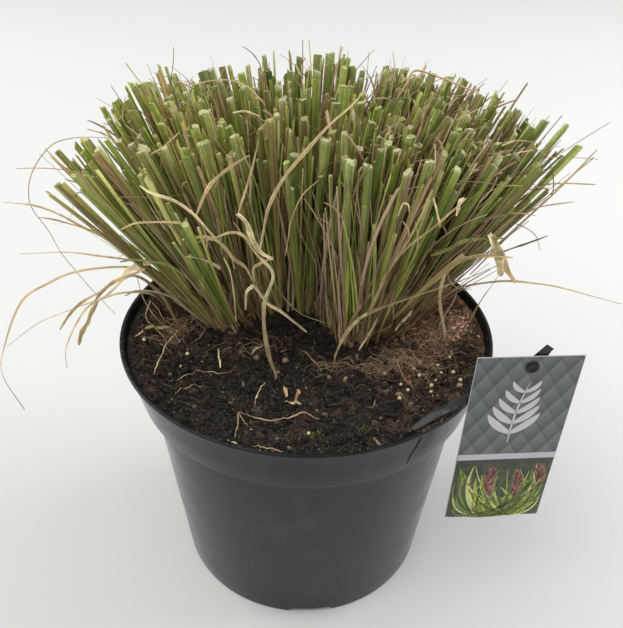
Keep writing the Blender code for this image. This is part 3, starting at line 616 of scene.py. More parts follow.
def stem_tips(bases, rng):
    """Cut ends: lead stems as listed, and the rest lean as the lead stems near them do."""
    lead_base = bases[:len(LEAD_STEMS_MM)]
    lead_tip = np.array([tip for _, tip in LEAD_STEMS_MM]) * MM
    lead_slope = (lead_tip[:, :2] - lead_base) / (lead_tip[:, 2:] - SOIL_Z)
    spare = lead_slope - base_slope(lead_base)
    apart = np.linalg.norm(bases[:, None] - lead_base[None], axis=-1)
    weight = np.exp(-(apart / LEAD_REACH) ** 2)
    pull = weight @ spare / (weight.sum(axis=1, keepdims=True) + 0.35)
    slope = base_slope(bases) + pull + rng.normal(0, 0.028, bases.shape)
    back = np.clip((bases[:, 1] - CROWN_CENTRE[1]) / 0.045, -1, 1) / 2 + 0.5
    length = STEM_LENGTH_FRONT + (STEM_LENGTH_BACK - STEM_LENGTH_FRONT) * back
    length = length + rng.uniform(-0.009, 0.006, len(bases))
    height = length / np.sqrt(1 + (slope ** 2).sum(axis=1))
    tips = np.column_stack([bases + slope * height[:, None], SOIL_Z + height])
    tips[:len(lead_tip)] = lead_tip
    return tips


def room_around(bases, tips, leaf_points):
    """Free radius of each stem at a set of levels, with every stem taking half the gap."""
    levels = np.linspace(SOIL_Z, tips[:, 2].max(), GAP_LEVELS)
    share = (levels[None] - SOIL_Z) / (tips[:, 2] - SOIL_Z)[:, None]
    there = share <= 1.001
    slope = (tips[:, :2] - bases) / (tips[:, 2:] - SOIL_Z)
    place = bases[:, None] + slope[:, None] * (levels - SOIL_Z)[None, :, None]
    apart = np.linalg.norm(place[:, None] - place[None], axis=-1)
    apart[~(there[:, None] & there[None])] = np.inf
    apart[np.arange(len(bases)), np.arange(len(bases))] = np.inf
    lean = np.sqrt(1 + (slope ** 2).sum(axis=1))
    stems = (apart.min(axis=1) - STEM_CLEARANCE) / 2 / lean[:, None] ** 0.5
    heights = np.broadcast_to(levels[None, :, None], (*share.shape, 1))
    axis_points = np.concatenate([place, heights], axis=-1)
    leaf_gap = np.linalg.norm(axis_points[:, :, None] - leaf_points, axis=-1).min(axis=2)
    free = np.where(there, np.minimum(stems, leaf_gap - LEAF_CLEARANCE), np.inf)
    return share, free


def stem_layout():
    """Where every stem stands, ends and how thick it is, and the tuft that it belongs to."""
    rng = np.random.default_rng(SEED)
    outline = crown_outline()
    centres = tuft_centres(outline)
    bases, tufts = stem_bases(outline, centres, rng)
    tips = stem_tips(bases, rng)
    turn = rng.uniform(0, math.pi, len(bases))
    girth = rng.uniform(0.82, 1.0, len(bases))
    leaf_points = np.concatenate([dry_leaf_curve(leaf[3], 60) for leaf in DRY_LEAVES_MM])
    for _ in range(THINNING_ROUNDS):
        share, free = room_around(bases, tips, leaf_points)
        low = np.minimum(STEM_BASE_RADIUS * girth, free[:, 0])
        climb = np.maximum(share, 1e-6)
        limit = np.where(share > 0.1, (free - low[:, None] * (1 - share)) / climb, np.inf)
        high = np.minimum(STEM_TOP_RADIUS * girth, limit.min(axis=1))
        worst = np.minimum(low - LEAST_BASE_RADIUS, high - LEAST_TOP_RADIUS)
        worst[:len(LEAD_STEMS_MM)] += LEAD_ALLOWANCE
        if worst.min() >= 0:
            break
        keep = np.arange(len(bases)) != worst.argmin()
        bases, tips, tufts, turn, girth = (part[keep] for part in (bases, tips, tufts, turn, girth))
    return StemLayout(tufts, bases, tips, low, high, turn)


# Strands: every stem, blade, fibre and hair is a profile carried along a path


def frames(path, side):
    """Tangents of the paths, and the side and face directions square to them."""
    along = unit(np.gradient(path, axis=1))
    side = np.broadcast_to(side, path.shape)
    side = unit(side - (side * along).sum(-1, keepdims=True) * along)
    return along, side, np.cross(along, side)


def carried(path, side, profile, tint, slant=None, ragged=0.0):
    """Profiles carried along paths: point = path + x * side + y * face, for each corner (x, y).

    path is (strands, rings, 3) and profile (strands, rings, corners, 2), whose first half runs
    along the back of the blade and whose second half returns along its front. slant tips the
    last ring: it rises along the path by slant . (x, y), plus ragged for each corner.
    """
    along, side, face = frames(path, side)
    points = (path[:, :, None] + profile[..., :1] * side[:, :, None]
              + profile[..., 1:] * face[:, :, None])
    if slant is not None:
        rise = (profile[:, -1] * slant[:, None]).sum(-1) + ragged
        points[:, -1] += np.clip(rise, *SLANT_RANGE)[..., None] * along[:, -1, None]
    return points, np.broadcast_to(tint, points.shape)


def pattern_place(points):
    """Where patterns are read on strands: across from -1 to 1, along in metres, and a number
    for the strand."""
    strands, rings, corners = points.shape[:3]
    place = np.zeros(points.shape)
    place[..., 0] = there_and_back(np.linspace(-1, 1, corners // 2))
    place[..., 1] = np.linspace(0, PATTERN_LENGTH, rings)[:, None]
    place[..., 2] = np.arange(strands)[:, None, None] * PATTERN_SHIFT
    return place


def ribbon_profile(half_width, thickness, fold=0.0, corners=8, curl=0.0):
    """A folded ribbon: x = u * half_width, y = (fold * |u| + curl * u^2) * half_width, plus or
    minus half a thickness that thins to a third at the edges; u runs from -1 to 1 and back."""
    u = there_and_back(np.linspace(-1, 1, corners // 2))
    front = np.repeat([-0.5, 0.5], corners // 2)
    half_width, thickness, fold, curl = (
        np.asarray(value)[..., None] for value in (half_width, thickness, fold, curl))
    y = (fold * np.abs(u) + curl * u ** 2) * half_width
    y = y + front * thickness * (1 - 0.66 * u ** 2)
    return np.stack([u * half_width, y], axis=-1)


def strand_faces(strands, rings, corners):
    """Quads round each strand and strips of quads over its two ends; the flags mark the far
    end, which is the cut one."""
    base = (np.arange(strands) * rings * corners)[:, None, None]
    ring = (np.arange(rings - 1) * corners)[None, :, None]
    i = np.arange(corners)[None, None, :]
    j = (i + 1) % corners
    around = np.stack([base + ring + i, base + ring + j, base + ring + corners + j,
                       base + ring + corners + i], axis=-1).reshape(-1, 4)
    k = np.arange(corners // 2 - 1)
    strip = np.stack([k, k + 1, corners - 2 - k, corners - 1 - k], axis=-1)
    near = (base + strip[None, :, ::-1]).reshape(-1, 4)
    far = (base + (rings - 1) * corners + strip[None]).reshape(-1, 4)
    flags = np.concatenate([np.zeros(len(around) + len(near), int), np.ones(len(far), int)])
    return np.concatenate([around, near, far]), flags


# Parts and pieces


def part_of(points, faces, tint, material=0, place=None):
    """One part of a piece: its points and faces, a material for each face, and for each point
    a tint and the place that patterns are read at, which is its own unless one is given."""
    place = points if place is None else place
    return {
        "points": points.reshape(-1, 3),
        "faces": faces,
        "material": np.full(len(faces), material),
        "tint": np.broadcast_to(tint, points.shape).reshape(-1, 3),
        "place": place.reshape(-1, 3) * 1.0,
    }


def strand_part(strands, keep=slice(None), far_material=0):
    """The chosen strands as one part of a piece."""
    every_point, every_tint = strands
    points = every_point[keep]
    faces, far = strand_faces(*points.shape[:3])
    place = pattern_place(every_point)[keep]
    return part_of(points, faces, every_tint[keep], far * far_material, place)


def sheet_part(points, tint, material=0, flip=False, looped=False):
    """A grid of rows and columns as quads, whose last column joins the first; looped also
    joins the last row to the first."""
    rows, columns = points.shape[:2]
    i = np.arange(rows if looped else rows - 1)[:, None]
    j = np.arange(columns)[None]
    k = (j + 1) % columns
    up = (i + 1) % rows
    faces = np.stack([i * columns + j, i * columns + k, up * columns + k,
                      up * columns + j], axis=-1).reshape(-1, 4)
    return part_of(points, faces[:, ::-1] if flip else faces, tint, material)


def turned_parts(points, tint, material=0, flip=False):
    """A sheet of closed rings, and the two faces that close its small end rings; flip turns
    them all over, for rings that run the other way."""
    corners = np.arange(points.shape[1])
    tint = np.broadcast_to(tint, points.shape)
    step = -1 if flip else 1
    parts = [sheet_part(points, tint, material, flip=flip)]
    for row, order in ((0, -step), (-1, step)):
        parts.append(part_of(points[row], corners[::order][None], tint[row], material))
    return parts


def icosahedron():
    """The 12 corners and 20 faces of a regular icosahedron of radius 1."""
    golden = (1 + 5 ** 0.5) / 2
    corners = np.array([(-1, golden, 0), (1, golden, 0), (-1, -golden, 0), (1, -golden, 0),
                        (0, -1, golden), (0, 1, golden), (0, -1, -golden), (0, 1, -golden),
                        (golden, 0, -1), (golden, 0, 1), (-golden, 0, -1), (-golden, 0, 1)], float)
    faces = np.array([(0, 11, 5), (0, 5, 1), (0, 1, 7), (0, 7, 10), (0, 10, 11), (1, 5, 9),
                      (5, 11, 4), (11, 10, 2), (10, 7, 6), (7, 1, 8), (3, 9, 4), (3, 4, 2),
                      (3, 2, 6), (3, 6, 8), (3, 8, 9), (4, 9, 5), (2, 4, 11), (6, 2, 10),
                      (8, 6, 7), (9, 8, 1)])
    return corners / np.linalg.norm(corners[0]), faces


def random_turns(rng, count):
    """Random rotation matrices, from unit quaternions."""
    q = unit(rng.normal(size=(count, 4)))
    w, x, y, z = q.T
    rows = ((1 - 2 * (y * y + z * z), 2 * (x * y - w * z), 2 * (x * z + w * y)),
            (2 * (x * y + w * z), 1 - 2 * (x * x + z * z), 2 * (y * z - w * x)),
            (2 * (x * z - w * y), 2 * (y * z + w * x), 1 - 2 * (x * x + y * y)))
    return np.stack([np.stack(row, axis=-1) for row in rows], axis=-2)


def lumps_part(centres, axes, tint):
    """Copies of an icosahedron: point = centre + axes @ corner for each copy."""
    corners, faces = icosahedron()
    points = centres[:, None] + np.einsum("nij,kj->nki", axes, corners)
    faces = (np.arange(len(centres)) * len(corners))[:, None, None] + faces
    return part_of(points, faces.reshape(-1, 3), tint[:, None])


def make_piece(name, parts, materials, replaced=(), sharp=50):
    """One mesh object from its parts, riding on the root body."""
    joined = {key: np.concatenate([part[key] for part in parts])
              for key in ("points", "material", "tint", "place")}
    offsets = np.cumsum([0] + [len(part["points"]) for part in parts])
    corners = np.concatenate([(part["faces"] + offset).ravel()
                              for part, offset in zip(parts, offsets)])
    counts = np.concatenate([np.full(len(part["faces"]), part["faces"].shape[1])
                             for part in parts])
    mesh = bpy.data.meshes.new(name)
    mesh.vertices.add(len(joined["points"]))
    mesh.vertices.foreach_set("co", joined["points"].astype(np.float32).ravel())
    mesh.loops.add(len(corners))
    mesh.loops.foreach_set("vertex_index", corners.astype(np.int32))
    mesh.polygons.add(len(counts))
    starts = np.concatenate([[0], np.cumsum(counts)[:-1]])
    mesh.polygons.foreach_set("loop_start", starts.astype(np.int32))
    mesh.polygons.foreach_set("material_index", joined["material"].astype(np.int32))
    mesh.update(calc_edges=True)
    rgba = np.column_stack([joined["tint"], np.ones(len(joined["tint"]))]).astype(np.float32)
    place = joined["place"].astype(np.float32)
    mesh.attributes.new("tint", "FLOAT_COLOR", "POINT").data.foreach_set("color", rgba.ravel())
    mesh.attributes.new("place", "FLOAT_VECTOR", "POINT").data.foreach_set("vector", place.ravel())
    for one in materials:
        mesh.materials.append(one)
    mesh.shade_smooth()
    mesh.set_sharp_from_angle(angle=math.radians(sharp))
    made = bpy.data.objects.new(name, mesh)
    bpy.context.scene.collection.objects.link(made)
    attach(made, "root")
    if replaced:
        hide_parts(*replaced)
    return made


# Materials


def new_material(name, roughness, specular=0.5):
    """A Principled material; returns it with its node tree and shader."""
    made = bpy.data.materials.new(name)
    made.use_nodes = True
    tree = made.node_tree
    shader = tree.nodes["Principled BSDF"]
    shader.inputs["Roughness"].default_value = roughness
    shader.inputs["Specular IOR Level"].default_value = specular
    return made, tree, shader


def feed(tree, socket, value):
    """Link a socket to another one, or set its number, vector or colour."""
    if isinstance(value, bpy.types.NodeSocket):
        tree.links.new(value, socket)
    elif socket.type == "RGBA":
        socket.default_value = (*value, 1.0)
    else:
        socket.default_value = value


def node_with(tree, kind, inputs, **settings):
    """A node with its settings made and its inputs fed, by name or by number."""
    node = tree.nodes.new(kind)
    for name, value in settings.items():
        setattr(node, name, value)
    for key, value in inputs.items():
        feed(tree, node.inputs[key], value)
    return node


def math_node(tree, operation, first, second=0.0):
    """One step of arithmetic; each value may be a socket or a number."""
    return node_with(tree, "ShaderNodeMath", {0: first, 1: second}, operation=operation).outputs[0]


def mix_colours(tree, factor, first, second):
    """Mix two colours; each may be a socket or three numbers."""
    inputs = {0: factor, 6: first, 7: second}
    return node_with(tree, "ShaderNodeMix", inputs, data_type="RGBA").outputs[2]


def scaled_colour(tree, colour, share):
    """A colour made lighter or darker by a share."""
    inputs = {0: colour, "Scale": share}
    return node_with(tree, "ShaderNodeVectorMath", inputs, operation="SCALE").outputs[0]


def map_range(tree, value, low, high, to_low=0.0, to_high=1.0):
    """A value stretched from one range to another and kept within it."""
    inputs = {"Value": value, "From Min": low, "From Max": high, "To Min": to_low,
              "To Max": to_high}
    return node_with(tree, "ShaderNodeMapRange", inputs).outputs["Result"]


def attribute(tree, name, output="Color"):
    """The piece's own attribute of that name."""
    return node_with(tree, "ShaderNodeAttribute", {}, attribute_name=name).outputs[output]


def noise_on(tree, vector, scale, detail=3.0, roughness=0.55):
    """Cloudy noise, about 0.5 on average."""
    inputs = {"Vector": vector, "Scale": scale, "Detail": detail, "Roughness": roughness}
    return node_with(tree, "ShaderNodeTexNoise", inputs).outputs["Fac"]


def stretched_noise(tree, vector, scales, detail=3.0, roughness=0.55):
    """Noise whose grain is drawn out: each axis has its own scale."""
    vector = node_with(tree, "ShaderNodeMapping", {"Vector": vector, "Scale": scales})
    return noise_on(tree, vector.outputs["Vector"], 1.0, detail, roughness)


def object_place(tree):
    """Places in the piece's own coordinates."""
    return tree.nodes.new("ShaderNodeTexCoord").outputs["Object"]


def add_bump(tree, shader, height, strength, distance):
    """Tilt the shading as if the surface rose with height."""
    bump = node_with(tree, "ShaderNodeBump",
                     {"Strength": strength, "Distance": distance, "Height": height})
    feed(tree, shader.inputs["Normal"], bump.outputs["Normal"])


def blade_material(name, roughness, vein_depth, fleck):
    """Leaf tissue: the piece's tint, darkened along fine veins and mottled lengthwise."""
    made, tree, shader = new_material(name, roughness, 0.4)
    place = attribute(tree, "place", "Vector")
    veins = stretched_noise(tree, place, (9.0, 14.0, 5.0), 2.0)
    vein_share = map_range(tree, veins, 0.35, 0.65, 1.0 - vein_depth, 1.0 + vein_depth)
    mottle = stretched_noise(tree, place, (1.2, 160.0, 3.0), 4.0, 0.6)
    mottle_share = map_range(tree, mottle, 0.3, 0.7, 0.78, 1.22)
    shade = math_node(tree, "MULTIPLY", vein_share, mottle_share)
    shaded = scaled_colour(tree, attribute(tree, "tint"), shade)
    spots = stretched_noise(tree, place, (2.4, 420.0, 7.0), 3.0, 0.7)
    spot_share = map_range(tree, spots, 0.64, 0.72, 0.0, fleck)
    colour = mix_colours(tree, spot_share, shaded, paint(126, 92, 60))
    feed(tree, shader.inputs["Base Color"], colour)
    add_bump(tree, shader, veins, 0.35, 0.0003)
    return made


def cut_face_material():
    """The cut face of a stem: green at some stems and pale at others, with darker gaps."""
    made, tree, shader = new_material("cut_face", 0.6, 0.4)
    place = object_place(tree)
    grain = noise_on(tree, place, 1100.0, 3.0, 0.6)
    ramp = map_range(tree, grain, 0.36, 0.60)
    pale = mix_colours(tree, ramp, paint(138, 146, 84), paint(214, 212, 170))
    blotch = map_range(tree, noise_on(tree, place, 120.0, 2.0), 0.44, 0.60, 0.45, 0.95)
    colour = mix_colours(tree, blotch, pale, attribute(tree, "tint"))
    feed(tree, shader.inputs["Base Color"], colour)
    add_bump(tree, shader, grain, 0.4, 0.0004)
    return made


def compost_material():
    """Dark damp compost: tint, broken up by fine grains and pale mineral specks."""
    made, tree, shader = new_material("compost", 0.75, 0.4)
    place = object_place(tree)
    grain = noise_on(tree, place, 620.0, 5.0, 0.7)
    share = map_range(tree, grain, 0.3, 0.7, 0.25, 1.9)
    shaded = scaled_colour(tree, attribute(tree, "tint"), share)
    specks = map_range(tree, noise_on(tree, place, 900.0, 2.0, 0.5), 0.64, 0.72, 0.0, 0.6)
    colour = mix_colours(tree, specks, shaded, paint(150, 122, 92))
    feed(tree, shader.inputs["Base Color"], colour)
    wet = map_range(tree, noise_on(tree, place, 260.0, 3.0, 0.6), 0.35, 0.6, 0.35, 0.9)
    feed(tree, shader.inputs["Roughness"], wet)
    add_bump(tree, shader, grain, 0.9, 0.0012)
    return made


def pot_material(name, specular):
    """Dark moulded plastic: faint upright scuffs, pale smears, dust and a soft sheen."""
    made, tree, shader = new_material(name, 0.25, specular)
    place = object_place(tree)
    cloud = noise_on(tree, place, 14.0, 4.0, 0.6)
    streak = stretched_noise(tree, place, (60.0, 60.0, 7.0), 4.0, 0.65)
    fine = noise_on(tree, place, 420.0, 3.0, 0.6)
    smear = stretched_noise(tree, place, (24.0, 24.0, 38.0), 5.0, 0.7)
    colour = mix_colours(tree, map_range(tree, cloud, 0.3, 0.7), paint(17, 21, 22),
                         paint(24, 28, 29))
    marks = (
        (streak, 0.56, 0.80, 0.16, paint(92, 98, 96)),
        (smear, 0.50, 0.76, 0.14, paint(98, 106, 104)),
        (fine, 0.70, 0.76, 0.25, paint(140, 134, 122)),
    )
    for pattern, low, high, strength, mark in marks:
        share = map_range(tree, pattern, low, high, 0.0, strength)
        colour = mix_colours(tree, share, colour, mark)
    feed(tree, shader.inputs["Base Color"], colour)
    feed(tree, shader.inputs["Roughness"], map_range(tree, smear, 0.35, 0.65, 0.14, 0.30))
    add_bump(tree, shader, fine, 0.08, 0.0003)
    return made


def plain_material(name, colour, roughness, specular=0.5):
    """One colour with a little grain in its shade and its surface."""
    made, tree, shader = new_material(name, roughness, specular)
    grain = noise_on(tree, object_place(tree), 300.0, 3.0, 0.6)
    mottled = mix_colours(tree, map_range(tree, grain, 0.3, 0.7), colour * 0.88, colour * 1.12)
    feed(tree, shader.inputs["Base Color"], mottled)
    add_bump(tree, shader, grain, 0.1, 0.0002)
    return made


# Grass stems


def stem_radius(layout, t):
    """Half the width of each stem's fan of sheaths, wider at the cut end."""
    low = layout.low[:, None] * 0.95
    high = layout.high[:, None] * 0.88
    return mixed(low, high, smooth_step(-0.1, 1.0, t))


def flat_directions(layout):
    """The level direction along the flat of each stem."""
    return level_directions(layout.turn)[:, None]


def stem_girths(layout):
    """Each stem's own width and depth, as shares of its radius."""
    rng = np.random.default_rng(SEED + 11)
    count = len(layout.bases)
    return np.stack([rng.uniform(0.66, 1.06, count), rng.uniform(0.40, 0.74, count)], axis=1)


def stem_paths(layout, start, end, bow=np.zeros(3)):
    """Paths along straight stems: base + (tip - base) * t + bow * 4t(1 - t), t from start to end.

    start and end are shares of each stem's length; the base is at soil level.
    """
    foot = at_soil(layout.bases)
    start, end = (np.broadcast_to(share, len(foot))[:, None] for share in (start, end))
    t = mixed(start, end, STEM_STATIONS[None])
    path = foot[:, None] + (layout.tips - foot)[:, None] * t[..., None]
    bow = np.broadcast_to(bow, foot.shape)[:, None]
    return path + bow * (4 * t * (1 - t))[..., None], t


def openness(feet):
    """1 for strands that grow at the edge of the crown, falling to a low share deep inside it."""
    depth = depth_inside(feet[:, :2], crown_outline(60))
    return mixed(1.0, 0.12, smooth_step(0.003, 0.017, depth))


def grass_greens(count, rng):
    """Random greens between the listed ones, lighter and darker."""
    first = GREENS[rng.integers(0, len(GREENS), count)]
    second = GREENS[rng.integers(0, len(GREENS), count)]
    share = rng.uniform(0, 1, (count, 1))
    return mixed(first, second, share) * rng.uniform(0.60, 1.30, (count, 1))


def tissue(count, rng, dry_share):
    """A colour for each strand: some dry, the rest green."""
    dry = rng.uniform(0, 1, count) < dry_share
    tan = SHEATH_TANS[rng.integers(0, len(SHEATH_TANS), count)]
    return np.where(dry[:, None], tan, grass_greens(count, rng))


def leaf_tint(t, green, rng, feet, brown_to=0.07, olive_to=0.22):
    """Colour up a stem: brown at the soil, olive, then green, with pale pith at some cut ends;
    painted light brightens its foot and, at the crown's left, its top.
    """
    strands = len(green)
    low = brown_to * rng.uniform(0.2, 1.8, (strands, 1))
    high = olive_to * rng.uniform(0.4, 1.6, (strands, 1))
    rise = smooth_step(0, 1, t / np.maximum(high, 1e-3))[..., None]
    foot = smooth_step(0, 1, t / np.maximum(low, 1e-3))[..., None]
    body = mixed(OLIVE, green[:, None], rise)
    colour = mixed(PURPLE_BROWN, body, foot)
    x = feet[:, :1]
    # Painted light: the foot of each stem is lightened, most at the crown's edge and at its right,
    # and the upper half is paler and warmer at the crown's left, as if lit from that side.
    base_light_share = mixed(0.95, 1.30, smooth_step(0.0, 0.05, x)) * openness(feet)[:, None]
    left_tip_light_share = mixed(0.38, 0.02, smooth_step(-0.06, 0.0, x))
    painted_base_light = 1 + (base_light_share * (1 - smooth_step(0.0, 0.62, t)))[..., None]
    lit = painted_base_light + (left_tip_light_share * smooth_step(0.5, 1.0, t))[..., None] * [1.25, 1.0, 1.1]
    pith = 0.85 * rng.uniform(0, 1, (strands, 1, 1)) ** 1.6
    cut = smooth_step(0.975, 0.999, t)[..., None] * pith
    return mixed(colour * lit, PALE_PITH, cut)[:, :, None]


def striped(count, sides, rng, low=0.72, high=1.2):
    """A shade for each lengthwise strip of a stem's side, the same at the back and front."""
    return there_and_back(rng.uniform(low, high, (count, 1, sides, 1)), 2)


def sheath_strands(layout, rng, middle, reach):
    """A leaf sheath that clasps part of each stem's oval, some of them opening at their end: an
    arc from middle - reach to middle + reach, in radians round the oval."""
    count = len(layout.bases)
    early = rng.uniform(0, 1, count) < 0.45
    end = np.where(early, rng.uniform(0.45, 0.95, count), 1 - np.abs(rng.normal(0, 0.02, count)))
    path, t = stem_paths(layout, STEM_FOOT, end)
    share = STEM_STATIONS[None]
    turn = middle + rng.normal(0, 0.35, (count, 1, 1))
    narrow = mixed(1.0, rng.uniform(0.5, 1.0, (count, 1)), share ** 3)[..., None]
    narrow = np.where(early[:, None, None], narrow * (1 - 0.85 * share[..., None] ** 3), narrow)
    arc = turn + reach * narrow * np.linspace(-1, 1, 5)
    opens = np.where(rng.uniform(0, 1, (count, 1)) < 0.22, rng.uniform(0.1, 0.5, (count, 1)), 0.0)
    lift = 1.0 + opens * smooth_step(0.6, 1.0, share)
    oval = np.stack([np.cos(arc), np.sin(arc)], axis=-1) * stem_girths(layout)[:, None, None]
    profile = np.concatenate([oval * 1.06, oval[:, :, ::-1] * 0.84], axis=2)
    profile = profile * (stem_radius(layout, t) * lift)[..., None, None]
    tint = leaf_tint(t, tissue(count, rng, 0.22), rng, layout.bases)
    tint = tint * striped(count, 5, rng, 0.82, 1.18)
    return carried(path, flat_directions(layout), profile, tint)


def stem_body_strands(layout, rng, size, away, dry_share):
    """Stems, or the side shoots next to them: a flat oval of packed leaf bases, ribbed
    lengthwise, with one cut face. Half-depth = depth * radius * sqrt(1 - u^2), less a groove at
    every other u. size scales the radius, and away moves a shoot off its stem's middle."""
    count = len(layout.bases)
    end = 1 - np.abs(rng.normal(0, 0.010 + 0.10 * away, count))
    bow = rng.normal(0, 0.0009, (count, 3)) * [1, 1, 0]
    path, t = stem_paths(layout, STEM_FOOT, end, bow)
    radius = stem_radius(layout, t)
    bearing = rng.uniform(0, 2 * math.pi, count)
    spread = away * radius * mixed(0.4, rng.uniform(1.2, 2.2, (count, 1)), STEM_STATIONS[None])
    path = path + level_directions(bearing)[:, None] * spread[..., None]
    sides = 9
    groove = np.arange(sides) % 2
    u = np.sin(np.linspace(-1.35, 1.35, sides))
    depth = np.sqrt(1 - u ** 2) * (1 - 0.18 * groove)
    oval = np.stack([there_and_back(u), np.concatenate([-depth, depth[::-1]])], axis=-1)
    profile = (radius * size)[..., None, None] * oval * stem_girths(layout)[:, None, None]
    # Painted shade: the corners in the grooves between the ribs are darkened, a little less towards
    # the cut end.
    dark = there_and_back(1 - 0.5 * groove)[None, None, :, None]
    dark_lines = mixed(dark, 1.0, 0.45 * smooth_step(0.5, 1.0, t)[:, :, None, None])
    tint = leaf_tint(t, tissue(count, rng, dry_share), rng, layout.bases)
    tint = tint * striped(count, sides, rng) * dark_lines
    frayed = rng.uniform(0, 1, (count, 1, sides, 1)) < 0.16
    edge = there_and_back(frayed * rng.uniform(0.3, 0.9, (count, 1, 1, 1)), 2)
    tint = mixed(tint, DRY_TANS[1] * 0.8, edge * (1 - 0.7 * t)[:, :, None, None])
    ragged = there_and_back(np.abs(rng.normal(0, 0.0005, (count, sides))), 1)
    slant = rng.uniform(-0.45, 0.45, (count, 2))
    side = mixed(flat_directions(layout), level_directions(bearing + 1.2)[:, None], away * 0.6)
    return carried(path, side, profile, tint, slant, ragged)


def free_blades(layout, rng, slim, dry_share):
    """Folded blades that leave each stem part of the way up and stand beside its cut end.

    slim scales their width; the slimmer ones leave further.
    """
    count = len(layout.bases)
    start = rng.uniform(-0.02, 0.30, count)
    end = np.where(rng.uniform(0, 1, count) < 0.6, rng.uniform(0.93, 1.01, count),
                   rng.uniform(0.4, 0.93, count))
    path, t = stem_paths(layout, start, end)
    share = STEM_STATIONS[None]
    bearing = rng.uniform(0, 2 * math.pi, count)
    reach = np.minimum(rng.gamma(2.0, 0.0026, (count, 1)) / slim + 0.0015, 0.012)
    away = stem_radius(layout, t) * 0.5 + reach * share ** rng.uniform(0.9, 2.2, (count, 1))
    path = path + level_directions(bearing)[:, None] * away[..., None]
    half = rng.uniform(0.0008, 0.0022, (count, 1)) * slim * mixed(0.7, 1.0, smooth_step(0, 0.5, t))
    short = (end < 0.93)[:, None]
    half = np.where(short, half * (1 - 0.85 * share ** 2), half)
    profile = ribbon_profile(half, 0.0004, rng.uniform(0.1, 0.8, (count, 1)))
    side = level_directions(bearing + rng.normal(math.pi / 2, 0.7, count))[:, None]
    margin = (1 + 0.3 * np.abs(np.linspace(-1, 1, 8)) ** 4)[None, None, :, None]
    tint = leaf_tint(t, tissue(count, rng, dry_share), rng, layout.bases, 0.1, 0.3) * margin
    return carried(path, side, profile, tint, rng.uniform(-1.4, 1.4, (count, 2)))


def dry_sheaths(layout, rng):
    """Withered sheaths round the foot of each stem, tapering to a ragged point."""
    count = len(layout.bases)
    end = rng.uniform(0.12, 0.70, count)
    path, t = stem_paths(layout, STEM_FOOT, end)
    share = STEM_STATIONS[None]
    out = level_directions(rng.uniform(0, 2 * math.pi, count))
    lift = stem_radius(layout, t) * 0.66 + 0.0005
    lift = lift * mixed(1.0, rng.uniform(1.0, 2.8, (count, 1)), share ** 2)
    path = path + out[:, None] * lift[..., None]
    half = rng.uniform(0.0005, 0.0018, (count, 1)) * (1 - share ** 2.2) + 0.0002
    profile = ribbon_profile(half, 0.00035, curl=-0.45)
    tan = shades_of(DRY_TANS, rng, count, 0.7, 1.1)
    # Painted shade: sheaths deep inside the crown are darkened, their brown foot most of all.
    low = 0.55 + 0.45 * openness(layout.bases)[:, None, None]
    rise = smooth_step(0.0, 0.4, share)[..., None]
    tint = mixed(PURPLE_BROWN * low, tan[:, None] * low ** 0.5, rise)[:, :, None]
    return carried(path, np.cross(out, UP)[:, None], profile, tint)


def build_stems(layout, blade, cut):
    """One piece a tuft, in the order of the CAD's tuft nodes."""
    rng = np.random.default_rng(SEED + 10)
    families = [stem_body_strands(layout, rng, 1.0, 0.0, 0.01)]
    families += [stem_body_strands(layout, rng, size, away, 0.07)
                 for size, away in ((0.58, 1.1), (0.42, 1.9))]
    families += [sheath_strands(layout, rng, middle, reach)
                 for middle, reach in ((0.0, 0.8), (math.pi, 0.8), (-1.3, 0.7), (1.3, 0.7))]
    families += [free_blades(layout, rng, slim, dry_share) for slim, dry_share in
                 ((1.0, 0.05), (0.8, 0.15), (0.6, 0.35), (0.4, 0.7))]
    families += [dry_sheaths(layout, rng) for _ in range(2)]
    for number, tuft in enumerate(np.unique(layout.tufts), 1):
        node = f"tuft_{number:02d}"
        parts = [strand_part(family, layout.tufts == tuft, 1) for family in families]
        make_piece(node + "_stems", parts, (blade, cut), (node,))


# Dry leaves and straws


def leaf_route(route_mm, rings):
    """The leaf's curve, led straight down into the soil at its foot."""
    curve = dry_leaf_curve(route_mm, rings - 1)
    root = curve[0] - UP * (curve[0][2] - SOIL_Z + LEAF_ROOT_DEPTH)
    return np.vstack([root, curve])


def build_dry_leaves(dry):
    """Long withered blades: folded at the foot, curled and twisting towards a thin tip."""
    rng = np.random.default_rng(SEED + 20)
    rings = 44
    share = np.linspace(0, 1, rings)[None]
    for name, width_mm, bearing, route in DRY_LEAVES_MM:
        path = leaf_route(route, rings)[None]
        swell = 0.55 + 0.46 * np.sin(math.pi * np.clip(share * 1.1, 0, 1)) ** 0.8
        swell = swell * (1 + 0.12 * np.sin(share * 23 + rng.uniform(0, 6)))
        half = width_mm * MM / 2 * swell * (1 - 0.6 * share ** 3)
        turn = math.radians(bearing) + 0.7 * np.sin(share * 5 + rng.uniform(0, 6))
        fold = 0.35 + 0.3 * np.sin(share * 9 + rng.uniform(0, 6))
        base = paint(192, 170, 126) * rng.uniform(0.9, 1.15)
        tint = mixed(base * 0.8, paint(226, 208, 162), smooth_step(0.0, 0.7, share)[..., None] * 0.6)
        tint = tint * (1 + 0.12 * rng.normal(0, 1, (1, rings, 1)))
        profile = ribbon_profile(half, 0.00045, fold)
        leaf = carried(path, level_directions(turn), profile, tint[:, :, None])
        node = "dry_leaf_" + name
        make_piece(node + "_blade", [strand_part(leaf)], (dry,), (node,))


def outward_reach(layout):
    """How far each stem's cut end stands out, level, from its foot."""
    return np.hypot(*(layout.tips[:, :2] - layout.bases).T)


def picked_stems(rng, count, weight):
    """Stems drawn at random, each as often as its weight says."""
    return rng.choice(len(weight), count, p=weight / weight.sum())


